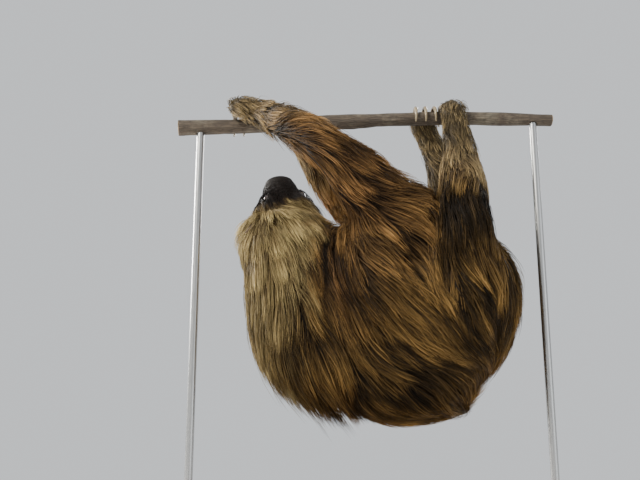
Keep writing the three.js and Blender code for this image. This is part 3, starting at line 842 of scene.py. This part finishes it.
skinPoints = pointsOf(skin)
skinNormals = normalsOf(skin)
skinWeights = nodeWeights(skinPoints)
skinFlow = layOfCoat(skinPoints, skinNormals, skinWeights)
skinEdges = edgesOf(skin)
for _ in range(flow["rounds"]):
    skinFlow = tangent(skinFlow + neighbourMean(skinFlow, skinEdges), skinNormals)
skinMarks = markings(skinPoints, skinWeights)
skinCoat = trimmedCoat(skinPoints, skinNormals, skinWeights)
writeColour(skin, "markings", skinMarks)
# painted shade inside the nostrils, darkest in their middle
writeColour(skin, "nostrilPaintedShade", (1.6 * nostrilShare(toHead(skinPoints))).clip(0, 1))
skinTree = KDTree(len(skinPoints))
for i, place in enumerate(skinPoints):
    skinTree.insert(place, i)
skinTree.balance()
print("lie of the coat is combed")


def nearestOnSkin(co):
    return np.array([skinTree.find(c)[1] for c in co])


# pigment shared by the skin and every coat piece: root and tip of each kind of hair; the dark roots are partly the
# hair's own dark base and partly painted shade deep in the coat
pigments = {
    "brown": (srgb(27, 14, 7), srgb(166, 130, 74)),
    "pale": (srgb(78, 57, 30), srgb(216, 193, 134)),
    "red": (srgb(28, 15, 8), srgb(156, 114, 70)),
    "grey": (srgb(48, 37, 25), srgb(168, 146, 104)),
    "mask": (srgb(14, 9, 7), srgb(38, 27, 21)),
}
pigmentTone = {"ramp": 1.7, "gain": 2.05, "floor": 0.06, "paleTop": 0.95, "paleShare": 0.45}


def pigmentGroup():
    group = bpy.data.node_groups.new("coatPigment", "ShaderNodeTree")
    sockets = [("Along", "Float", 0.5), ("Tone", "Float", 0.5)]
    for kind, (root, tip) in pigments.items():
        sockets += [(kind + " root", "Color", root), (kind + " tip", "Color", tip)]
    for label, kind, value in sockets:
        socket = group.interface.new_socket(label, in_out="INPUT", socket_type="NodeSocket" + kind)
        socket.default_value = value
    group.interface.new_socket("Color", in_out="OUTPUT", socket_type="NodeSocketColor")
    n = Nodes(group)
    source, sink = group.nodes.new("NodeGroupInput").outputs, group.nodes.new("NodeGroupOutput")
    pale, red, grey, mask = n.channels("markings")
    along = n.math("POWER", source["Along"], pigmentTone["ramp"])
    strands = {kind: n.mix(along, source[kind + " root"], source[kind + " tip"]) for kind in pigments}
    colour = strands["brown"]
    for kind, share in (("red", red), ("grey", grey), ("pale", pale), ("mask", mask)):
        colour = n.mix(share, colour, strands[kind])
    # the tone sets how light the colour is; it carries the locks' own tone together with painted light and painted
    # shade
    bright = n.math("POWER", source["Tone"], 2.0)
    bright = n.math("MULTIPLY_ADD", bright, pigmentTone["gain"], pigmentTone["floor"])
    damping = n.math("MULTIPLY", pale, pigmentTone["paleShare"])
    bright = n.math("ADD", bright, n.math("MULTIPLY", n.math("SUBTRACT", pigmentTone["paleTop"], bright), damping))
    n.put(sink, {"Color": n.darken(colour, bright)})
    return group


pigment = pigmentGroup()


def hairPaint(n):
    along, tone, *_ = n.channels("strand")
    hair = n.add("Group", {"Along": along, "Tone": tone}, node_tree=pigment)
    return {"Base Color": hair.outputs["Color"], "Roughness": 0.55, "Specular IOR Level": 0.16}


def skinPaint(n):
    _, _, grey, mask = n.channels("markings")
    # the skin takes the root pigment, darkened: under the coat this is painted shade for the coat's shaded depth, on
    # the bare face it is the mask's own dark skin
    along = n.math("MULTIPLY_ADD", mask, 0.34, n.math("MULTIPLY_ADD", grey, 0.45, 0.12))
    hair = n.add("Group", {"Along": along, "Tone": n.math("MULTIPLY_ADD", mask, 0.16, 0.38)}, node_tree=pigment)
    spot = n.place()
    pores = n.noise(spot, 900.0, 3.0)
    height = n.math("MULTIPLY_ADD", n.cells(spot, 420.0), 0.5, pores)
    # the nostrils are painted near black inside, as painted shade
    return {"Base Color": n.mix(n.channels("nostrilPaintedShade")[0], hair.outputs["Color"], srgb(9, 6, 5)),
            "Roughness": n.math("MULTIPLY_ADD", pores, 0.25, 0.48), "Specular IOR Level": 0.2,
            "Normal": n.bump(height, 0.55, 0.0008)}


finishPiece(skin, newMaterial("bareSkin", skinPaint), "face_skin", *fleshNodes)


# eyes: a wet ball with a brown iris, seated behind the lids
iris = {
    "reach": 0.52, "pupil": 0.20, "inner": srgb(44, 25, 13), "outer": srgb(15, 9, 6), "white": srgb(26, 17, 14),
    "black": (0.004, 0.003, 0.003, 1), "spokes": (40.0, 3.0), "fleck": (1.1, 0.45), "cornea": 0.05, "corneaTo": 0.20,
}


def eyePaint(n):
    far, turn, *_ = n.channels("gaze")
    around, out = iris["spokes"]
    spokes = n.add("CombineXYZ", {0: n.math("MULTIPLY", turn, around), 1: n.math("MULTIPLY", far, out)}).outputs[0]
    ring = n.add("ValToRGB", {0: far})
    pupil, reach = iris["pupil"], iris["reach"]
    stops = ((0.0, iris["black"]), (pupil, iris["black"]), (pupil + 0.03, iris["inner"]),
             (reach - 0.06, iris["inner"]), (reach, iris["outer"]), (reach + 0.08, iris["white"]))
    ramp = ring.color_ramp.elements
    while len(ramp) < len(stops):
        ramp.new(0.5)
    for element, (place, colour) in zip(ramp, stops):
        element.position = place
        element.color = colour
    fleck = n.math("MULTIPLY_ADD", n.noise(spokes, 2.2, 3.0), *iris["fleck"])
    return {"Base Color": n.darken(ring.outputs["Color"], fleck), "Roughness": 0.18, "Coat Weight": 0.6,
            "Coat Roughness": 0.10}


def buildEye(name, side, node, material):
    piece = newBall(name, 64, 40)
    p = pointsOf(piece)
    angle = np.arccos(p[:, 2].clip(-1, 1)) / math.pi
    turn = np.arctan2(p[:, 1], p[:, 0]) / (2 * math.pi) + 0.5
    writeColour(piece, "gaze", angle * 2, turn)
    swell = 1 + iris["cornea"] * smoothStep(iris["corneaTo"], 0.0, angle)
    look, along, up = [directionFromHead(v) for v in eyeFrame(side)]
    world = (p * swell[:, None]) @ np.array([along, up, look]) * (eyes["radius"] - eyes["slack"]) / 1000
    setPoints(piece, world + fromHead(eyeCentre(side)[None])[0])
    finishPiece(piece, material, "eyeball", node)


wetEye = newMaterial("wetEye", eyePaint)
buildEye("eyeBallLeft", 1, "eye_left", wetEye)
buildEye("eyeBallRight", -1, "eye_right", wetEye)
print("eyes are seated")


# ears: small cupped shells that stand off the skull and end inside the coat, mm
pinna = {
    "seat": (84, 40, 14), "up": (0.72, 0.58, 0.36), "front": (-0.75, 0.45, 0.2), "stand": 3.0,
    "tall": 10.5, "wide": 8.6, "widen": 0.12, "thick": 1.3, "cup": 4.2,
    # how high, where and how wide the rim rolls, and the same for the fold, across and up
    "rim": (0.7, 0.9, 0.12), "fold": (0.9, 0.35, 0.16, -0.05, 0.5),
    "stalkFrom": (-0.45, -1.0), "stalk": (0.45, 2.0, 0.6, 2.2),  # narrower, longer, flatter, thicker
}


def earPaint(n):
    spot = n.place()
    mottle = n.noise(spot, 260.0, 5.0)
    return {"Base Color": n.mix(mottle, srgb(60, 47, 35), srgb(110, 90, 66)), "Roughness": 0.55,
            "Normal": n.bump(n.math("ADD", n.cells(spot, 700.0), mottle), 0.3, 0.0004)}


def buildEar(name, side, node, material):
    tall = unit(np.array(pinna["up"]) * (1, side, 1))
    front = np.array(pinna["front"]) * (1, side, 1)
    front = unit(front - tall * front.dot(tall))
    piece = newBall(name, 48, 32)
    x, y, z = pointsOf(piece).T
    r = np.hypot(x, y)
    proud, at, wide = pinna["rim"]
    rolled = proud * bell((r - at) / wide) * np.sign(z)
    proud, at, wide, level, long = pinna["fold"]
    fold = proud * bell((x - at) / wide, (y - level) / long) * (z > 0)
    foot = smoothStep(*pinna["stalkFrom"], y)  # narrows to a stalk at the skull
    narrower, longer, flatter, thicker = pinna["stalk"]
    across = x * pinna["wide"] * (1 - narrower * foot) * (1 + pinna["widen"] * y)
    high = y * pinna["tall"] - longer * foot
    out = -pinna["cup"] * (1 - r**2) * (1 - flatter * foot) + z * (pinna["thick"] + thicker * foot) + rolled + fold
    spot = fromHead(np.array([pinna["seat"]]) * (1, side, 1))
    seat = toHead(skinPoints[nearestOnSkin(spot)])[0] + tall * pinna["stand"]
    wide = np.cross(tall, front)
    setPoints(piece, fromHead(seat + np.outer(across, wide) + np.outer(high, tall) + np.outer(out, front)))
    finishPiece(piece, material, "ear_skin", node)


earSkin = newMaterial("earSkin", earPaint)
buildEar("earShellLeft", 1, "ear_left", earSkin)
buildEar("earShellRight", -1, "ear_right", earSkin)
print("ears are set")


def hornPaint(n):
    along, turn, *_ = n.channels("grown")
    lines = n.add("CombineXYZ", {0: n.math("MULTIPLY", turn, 26.0), 1: n.math("MULTIPLY", along, 2.5)}).outputs[0]
    fibre = n.noise(lines, 3.0, 4.0)
    cloud = n.math("MULTIPLY_ADD", n.noise(n.place(), 140.0, 3.0), 0.8, -0.25, clamp=True)
    paling = n.math("SMOOTH_MIN", n.math("MULTIPLY", along, 1.6), 1.0, 0.2)
    colour = n.mix(paling, srgb(92, 76, 58), srgb(176, 158, 124))
    colour = n.mix(n.math("MULTIPLY", fibre, 0.55), colour, srgb(84, 66, 46))
    return {"Base Color": n.mix(cloud, colour, srgb(66, 52, 38)), "Roughness": 0.32, "Coat Weight": 0.15,
            "Normal": n.bump(fibre, 0.4, 0.0004)}


clawHorn = newMaterial("clawHorn", hornPaint)
for node in [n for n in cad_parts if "_claw_" in n]:
    side, limb, _, order = node.split("_")
    claw = copyOfNode(node, "claw" + side.capitalize() + limb.capitalize() + order)
    applyModifier(claw, "SUBSURF", levels=1)
    p = pointsOf(claw)
    away = sizeOf(p - p[p[:, 2].argmax()])  # grows from its highest point
    writeColour(claw, "grown", away / away.max(), (p[:, 0] - p[:, 0].mean()) / (np.ptp(p[:, 0]) + 1e-9) + 0.5)
    bpy.ops.object.shade_smooth()
    finishPiece(claw, clawHorn, "claw_horn", node)
print("claws are smoothed")


bark = {
    "voxel": 0.0019, "smoothing": 3, "deep": 0.0009, "ridges": (9, 2.2, 34, 1.4, 91, 2), "lumps": (57, 1.7, 20),
    "ridgeShare": 0.55, "lumpShare": 0.45, "cutReach": 0.006, "cutRadius": 0.95,
}


def barkPaint(n):
    drawn = n.place((0.16, 1.0, 1.0))
    ridge = n.noise(drawn, 260.0, 6.0, Roughness=0.65)
    bloom = n.noise(n.place(), 34.0, 5.0, Roughness=0.7)
    colour = n.mix(ridge, srgb(32, 26, 21), srgb(104, 90, 74))
    colour = n.mix(n.math("MULTIPLY_ADD", bloom, 3.4, -1.75, clamp=True), colour, srgb(122, 114, 97))
    crack = n.math("MULTIPLY_ADD", n.cells(drawn, 330.0), -7.0, 1.0, clamp=True)
    colour = n.mix(n.math("MULTIPLY", crack, 0.4), colour, srgb(24, 18, 14))
    sawn, radial, *_ = n.channels("sawn")
    rings = n.math("SINE", n.math("MULTIPLY_ADD", radial, 46.0, n.math("MULTIPLY", bloom, 5.0)))
    wood = n.mix(n.math("MULTIPLY_ADD", rings, 0.5, 0.5), srgb(150, 118, 78), srgb(196, 164, 118))
    height = n.math("SUBTRACT", ridge, n.math("MULTIPLY", crack, 0.6))
    return {"Base Color": n.mix(sawn, colour, wood), "Roughness": 0.82, "Normal": n.bump(height, 0.7, 0.0012)}


def buildBranch():
    branch = copyOfNode("perch", "branch")
    ends = np.array([pointsOf(branch)[:, 0].min(), pointsOf(branch)[:, 0].max()])
    remeshEvenly(branch, bark["voxel"], bark["smoothing"])
    p, out = pointsOf(branch), normalsOf(branch)
    flatEnd = np.abs(out[:, 0]) > 0.75
    x, y, z = p.T
    turn = np.arctan2(z - branchLine["height"] / 1000, y)
    count, wander, slow, wobble, quick, twist = bark["ridges"]
    ridges = np.sin(turn * count + wander * np.sin(x * slow) + wobble * np.sin(x * quick + turn * twist)) * 0.5 + 0.5
    pace, bend, bendPace = bark["lumps"]
    lumps = np.sin(x * pace + bend * np.sin(turn + x * bendPace)) * 0.5 + 0.5
    p -= out * (bark["deep"] * (bark["ridgeShare"] * ridges + bark["lumpShare"] * lumps) * ~flatEnd)[:, None]
    setPoints(branch, p)
    hearts = np.array([p[abs(p[:, 0] - end) < 0.004][:, 1:].mean(0) for end in ends])
    radial = sizeOf(p[:, 1:] - hearts[(p[:, 0] > 0).astype(int)]) * 100
    atEnd = (p[:, 0] < ends[0] + bark["cutReach"]) | (p[:, 0] > ends[1] - bark["cutReach"])
    writeColour(branch, "sawn", (flatEnd & atEnd & (radial < bark["cutRadius"])).astype(float), radial)
    bpy.ops.object.shade_smooth()
    finishPiece(branch, newMaterial("branchBark", barkPaint), "bark", "perch")


def woodPaint(n):
    drawn = n.place((0.07, 1.0, 1.0))
    grain = n.noise(drawn, 150.0, 6.0, Distortion=0.6)
    pore = n.noise(drawn, 900.0, 2.0)
    colour = n.mix(grain, srgb(66, 42, 27), srgb(124, 88, 60))
    colour = n.mix(n.math("MULTIPLY_ADD", pore, 2.0, -0.95, clamp=True), colour, srgb(44, 28, 19))
    return {"Base Color": colour, "Roughness": n.math("MULTIPLY_ADD", grain, 0.2, 0.35),
            "Normal": n.bump(pore, 0.15, 0.0003)}


def steelPaint(n):
    brushed = n.noise(n.place((1.0, 1.0, 0.03)), 2400.0, 3.0)
    return {"Base Color": n.mix(brushed, srgb(150, 150, 150), srgb(188, 188, 186)),
            "Roughness": n.math("MULTIPLY_ADD", brushed, 0.22, 0.24), "Metallic": 1.0}


buildBranch()
steel = newMaterial("brushedSteel", steelPaint)
for node, name in (("stand_rod_left", "rodLeft"), ("stand_rod_right", "rodRight")):
    rod = copyOfNode(node, name)
    bpy.ops.object.shade_smooth_by_angle(angle=math.radians(40))
    finishPiece(rod, steel, "stand_steel", node)
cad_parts["stand_base"].material_slots[0].material = newMaterial("oiledWood", woodPaint)
print("branch and stand are finished")

# the coat: solid locks that follow the lie of the hair, in metres and degrees
lock = {
    "sink": 0.0015, "fine": (0.008, 0.09, 0.9), "broad": (0.020, 0.010, 0.95),  # clump reach, share that leads, pull
    "lengths": (0.6, 1.1), "widths": (0.75, 1.3), "layers": (0.25, 1.0), "flat": 0.5, "roll": 0.5, "patch": 0.003,
    "taper": (0.5, 0.75),  # width at the root, and how much of it the tip loses
    "longUnderNeck": 0.22, "shortUnderChest": 0.3, "fringe": 0.62, "fray": 0.35, "frayWay": (0.86, 0, -0.5),
    "stray": 0.05, "strayFrom": (8, 20), "strayLift": (8, 24), "strayLength": 0.15, "liftSpread": 4,
    # by chance, and by place with the pace of the change
    "sway": (0.07, 0.13, 120), "bend": (0.09, 0.52, 190), "turnFrom": (1.2, 90), "layer": (0.85, 0.15, 230),
    "turns": 4.6, "rise": 2.2, "follow": 0.6, "crossed": 0.25,
}
places = {
    # windows of how far the skin faces down and of x, or of x and z, where the coat differs
    "underNeck": ((0.2, 0.8), (-0.05, -0.10)), "underChest": ((0.1, 0.7), (-0.075, -0.045), (0.04, 0.01)),
    "loose": ((0.1, 0.7), (-0.06, -0.11)), "fringe": ((0.0, 0.75), (-0.01, -0.09)),
    "fray": ((0.05, 0.10), (0.20, 0.15)),
}
# how light or dark each lock is: its own tone by chance, alone and with its clumps, and painted shade on the lower
# layers, in the gaps between clumps and along the partings, with painted light on the far arm, which lies in shadow
tones = {
    "middle": 0.66, "fine": 0.12, "broad": 0.035, "own": 0.08, "layer": 0.32, "layerFrom": 0.6,
    "gap": 0.26, "parted": 0.26, "partedDepth": 0.55, "farArmPaintedLight": 0.14, "palerPaws": 0.6,
}
coatPieces = {
    # nodes of the skin that it grows on, slot, most locks, rings of a lock
    "coatFace": (("snout", "face"), "face_skin", 5200, 3),
    "coatHead": (("head",), "head_coat", 7600, 4),
    "coatNape": (("neck",), "nape_coat", 6300, 5),
    "coatChest": (("chest",), "body_coat", 6300, 5),
    "coatLoin": (("loin",), "body_coat", 6300, 5),
    "coatRump": (("rump",), "body_coat", 6300, 5),
    "coatArmRight": (("right_upper_arm", "right_forearm"), "arm_coat", 5400, 5),
    "coatArmLeft": (("left_upper_arm", "left_forearm"), "arm_coat", 3400, 4),
    "coatLegRight": (("right_thigh", "right_shank"), "leg_coat", 4700, 5),
    "coatLegLeft": (("left_thigh", "left_shank"), "leg_coat", 3000, 4),
    "coatPaws": (pawNodes, "paw_coat", 4400, 3),
}
bare = {"across": 34, "ahead": -12, "pad": (14, 10), "lipsAbove": -8, "lipsWide": 3, "lipsTo": (34, 28), "lids": 0.7}
skin.data.calc_loop_triangles()
skinTriangles = readArray(skin.data.loop_triangles, "vertices", 3, np.int32)
skinMap = readArray(skin.data.uv_layers.active.uv, "vector", 2).reshape(-1, 3, 2)
triangleNode = skinWeights[skinTriangles].sum(1).argmax(1)
corner = skinPoints[skinTriangles]
triangleArea = sizeOf(np.cross(corner[:, 1] - corner[:, 0], corner[:, 2] - corner[:, 0])) / 2


def bareShare(local):
    # 1 on the nose pad, lips and eye openings, where no hair grows
    near = (sizeOf(local[:, 1:]) < bare["across"]) & (local[:, 0] > bare["ahead"])
    pad = smoothStep(*bare["pad"], local[:, 0])
    lips = bell((local[:, 2] - bare["lipsAbove"]) / bare["lipsWide"]) * smoothStep(*bare["lipsTo"], local[:, 0])
    lids = (awayFromEyes(local) < eyes["radius"] + bare["lids"]).astype(float)
    return np.clip((pad + lips) * near + lids, 0, 1)


def scatterRoots(nodes, most):
    mine = np.where(np.isin(triangleNode, [fleshNodes.index(node) for node in nodes]))[0]
    amount = triangleArea[mine] * (skinCoat[skinTriangles[mine]].mean(1)[:, densityAt] * 1e4)
    amount *= 1 - bareShare(toHead(corner[mine].mean(1)))
    number = min(most, int(amount.sum()))
    picked = mine[chance.choice(len(mine), number, p=amount / amount.sum())]
    u, v = chance.random((2, number))
    flip = u + v > 1
    u[flip], v[flip] = 1 - u[flip], 1 - v[flip]
    mix = np.stack([1 - u - v, u, v], axis=1)[:, :, None]
    root, normal, lay, traits, marked = [(values[skinTriangles[picked]] * mix).sum(1) for values in
                                         (skinPoints, skinNormals, skinFlow, skinCoat, skinMarks)]
    return root, unit(normal), lay, traits, marked, (skinMap[picked] * mix).sum(1)


def gather(path, root, traits, clump):
    # draws locks towards their nearest leader, most of all at the tips
    reach, share, strength = clump
    rings = path.shape[1] - 1
    which = np.where(chance.random(len(root)) < share)[0]
    tree = KDTree(len(which))
    for i, g in enumerate(which):
        tree.insert(root[g], i)
    tree.balance()
    found = [tree.find(c) for c in root]
    leader = which[[f[1] for f in found]]
    away = np.array([f[2] for f in found])
    most = traits[:, clumpAt] * strength * bell(away / reach)
    for k in range(1, rings + 1):
        path[:, k] += (path[leader, k] - path[:, k]) * (most * (k / rings) ** 1.2)[:, None]
    return leader, away.clip(0, reach) / reach


def lockLengths(root, under, traits):
    # longer below the neck, and shorter below the chest
    length = traits[:, lengthAt] / 1000 * chance.uniform(*lock["lengths"], len(root))
    length *= 1 + lock["longUnderNeck"] * within(places["underNeck"], under, root[:, 0])
    return length * (1 - lock["shortUnderChest"] * within(places["underChest"], under, root[:, 0], root[:, 0]))


def growLocks(root, normal, lay, traits, marked, rings):
    number = len(root)
    length = lockLengths(root, -normal[:, 2], traits)
    depth = traits[:, depthAt] / 1000
    loose = within(places["loose"], -normal[:, 2], root[:, 0])
    fray = within(places["fray"], root[:, 0], root[:, 2])[:, None]
    stray = chance.random(number) < lock["stray"] * (1 + 2 * loose)
    stray = stray * smoothStep(*lock["strayFrom"], traits[:, lengthAt])
    length *= 1 + lock["strayLength"] * stray * loose
    lift = traits[:, liftAt] + chance.normal(0, lock["liftSpread"], number)
    lift = np.radians(lift + stray * chance.uniform(*lock["strayLift"], number))
    side = np.cross(normal, lay)
    spread, share, pace = lock["sway"]
    sway = (chance.normal(0, spread, number) + share * swirl(root, pace, 3.1))[:, None]
    way = unit(unit(lay + side * sway) * np.cos(lift)[:, None] + normal * np.sin(lift)[:, None])
    parted = partedShare(root)
    least, share, pace = lock["layer"]
    layer = chance.uniform(*lock["layers"], number) * (least + share * swirl(root, pace, 0.6))
    layer *= 1 - tones["partedDepth"] * parted
    spread, share, pace = lock["bend"]
    bend = (chance.normal(0, spread, number) + share * swirl(root, pace, 0.9))[:, None]
    share, pace = lock["turnFrom"]
    start = (share * swirl(root, pace, 2.4))[:, None]
    path, face, point = [root - normal * lock["sink"]], [normal], root
    for k in range(1, rings + 1):
        t = k / rings
        point = point + way * (length / rings)[:, None]
        near = nearestOnSkin(point)
        up = skinNormals[near]
        height = np.sum((point - skinPoints[near]) * up, axis=1)
        want = depth * layer * (1 - (1 - t) ** lock["rise"])
        point = point + up * np.maximum(want - height, 0)[:, None]
        path.append(point)
        face.append(up)
        fringe = lock["fringe"] * within(places["fringe"], -up[:, 2], root[:, 0])
        droop = ((traits[:, droopAt] + fringe) * (0.3 + t))[:, None]
        aside = sway + bend * np.sin(lock["turns"] * t + start)
        ahead = skinFlow[near] + np.cross(up, skinFlow[near]) * aside + down * droop
        ahead += lock["fray"] * fray * np.array(lock["frayWay"])
        crossed = np.sum(ahead * way, axis=1) < lock["crossed"]  # where two sides meet, each keeps on its own way
        ahead[crossed] = tangent(way[crossed], up[crossed])
        way = unit((1 - lock["follow"]) * way + lock["follow"] * unit(ahead))
    path, face = np.stack(path, axis=1), np.stack(face, axis=1)
    leader, _ = gather(path, root, traits, lock["fine"])
    broad, away = gather(path, root, traits, lock["broad"])
    shade = chance.normal(0, 1, number)
    tone = tones["middle"] + tones["fine"] * shade[leader] + tones["broad"] * shade[broad] + tones["own"] * shade
    # locks lying low in the coat are painted darker, as painted shade
    tone = tone + tones["layer"] * (layer - tones["layerFrom"])
    # painted light and painted shade: the listed patches, painted shade in the gaps between clumps and along the
    # partings, and painted light on the far arm where it lies in shadow
    tone += (paintedLightAndShadeAt(root) - tones["gap"] * away**2 - tones["parted"] * parted
             + tones["farArmPaintedLight"] * marked[:, 1] * smoothStep(0.0, 0.05, root[:, 1]))
    return path, face, tone.clip(0, 1)


def lockPattern(rings):
    # corners of one lock's triangles, three to a ring and a point at the tip, and where they lie on its patch
    faces, patch = [(0, 1, 2)], [((0.0, 0.0), (1.0, 0.0), (0.5, -0.2))]
    for k in range(rings):
        for j in range(3):
            p, q = 3 * k + j, 3 * k + (j + 1) % 3
            low, high, left, right = k / rings, (k + 1) / rings, j / 3, (j + 1) / 3
            if k < rings - 1:
                faces += [(p, p + 3, q + 3), (p, q + 3, q)]
                patch += [((left, low), (left, high), (right, high)), ((left, low), (right, high), (right, low))]
            else:
                faces.append((p, rings * 3, q))
                patch.append(((left, low), ((left + right) / 2, 1.0), (right, low)))
    return np.array(faces), np.array(patch)


def lockPoints(path, face, width):
    # a flat triangle of points at each ring, and the tip
    number, rings = len(path), path.shape[1] - 1
    ahead = unit(np.diff(path, axis=1))
    ahead = np.concatenate([ahead, ahead[:, -1:]], axis=1)
    side = unit(np.cross(ahead, face))
    top = np.cross(side, ahead)
    roll = chance.normal(0, lock["roll"], number)[:, None, None]
    side, top = side * np.cos(roll) + top * np.sin(roll), top * np.cos(roll) - side * np.sin(roll)
    share = np.arange(rings) / rings
    root, tip = lock["taper"]
    thick = (root + (1 - root) * smoothStep(0, 0.2, share)) * (1 - tip * share**1.5)
    thick = thick[None, :, None] * width[:, None, None]
    centre, across = path[:, :rings], side[:, :rings] * thick
    ring = np.stack([centre + across, centre - across, centre + top[:, :rings] * thick * lock["flat"] * 2], axis=2)
    return np.concatenate([ring.reshape(number, rings * 3, 3), path[:, rings:]], axis=1)


def buildLocks(name, path, face, tone, traits, marked, spot):
    number, rings = len(path), path.shape[1] - 1
    each = rings * 3 + 1
    points = lockPoints(path, face, traits[:, widthAt] / 2000 * chance.uniform(*lock["widths"], number))
    faces, patch = lockPattern(rings)
    corners = faces[None] + (np.arange(number) * each)[:, None, None]
    mesh = bpy.data.meshes.new(name)
    mesh.vertices.add(number * each)
    mesh.vertices.foreach_set("co", points.astype(np.float32).ravel())
    total = number * len(faces)
    mesh.loops.add(total * 3)
    mesh.loops.foreach_set("vertex_index", corners.astype(np.int32).ravel())
    mesh.polygons.add(total)
    mesh.polygons.foreach_set("loop_start", np.arange(total, dtype=np.int32) * 3)
    mesh.update(calc_edges=True)
    mesh.polygons.foreach_set("use_smooth", np.ones(total, bool))
    mapped = spot[:, None, None] + (patch[None] - 0.5) * lock["patch"]
    mesh.uv_layers.new(name="OFBake").uv.foreach_set("vector", mapped.astype(np.float32).ravel())
    piece = bpy.data.objects.new(name, mesh)
    scene.collection.objects.link(piece)
    along = np.append(np.repeat(np.arange(rings) / rings, 3), 1.0)
    paler = tones["palerPaws"] * pawEnds(path[:, 0])[:, None]
    strand = np.zeros((number, each, 4), np.float32)
    strand[:, :, 0] = paler + (1 - paler) * along[None]
    strand[:, :, 1] = tone[:, None]
    writeColour(piece, "strand", strand)
    writeColour(piece, "markings", np.repeat(marked[:, None], each, axis=1))
    return piece


for name, (nodes, slot, most, rings) in coatPieces.items():
    root, normal, lay, traits, marked, spot = scatterRoots(nodes, most)
    path, face, tone = growLocks(root, normal, lay, traits, marked, rings)
    piece = buildLocks(name, path, face, tone, traits, marked, spot)
    finishPiece(piece, newMaterial(name + "Hair", hairPaint), slot)
    print(name, len(root), "locks", len(piece.data.polygons), "faces")
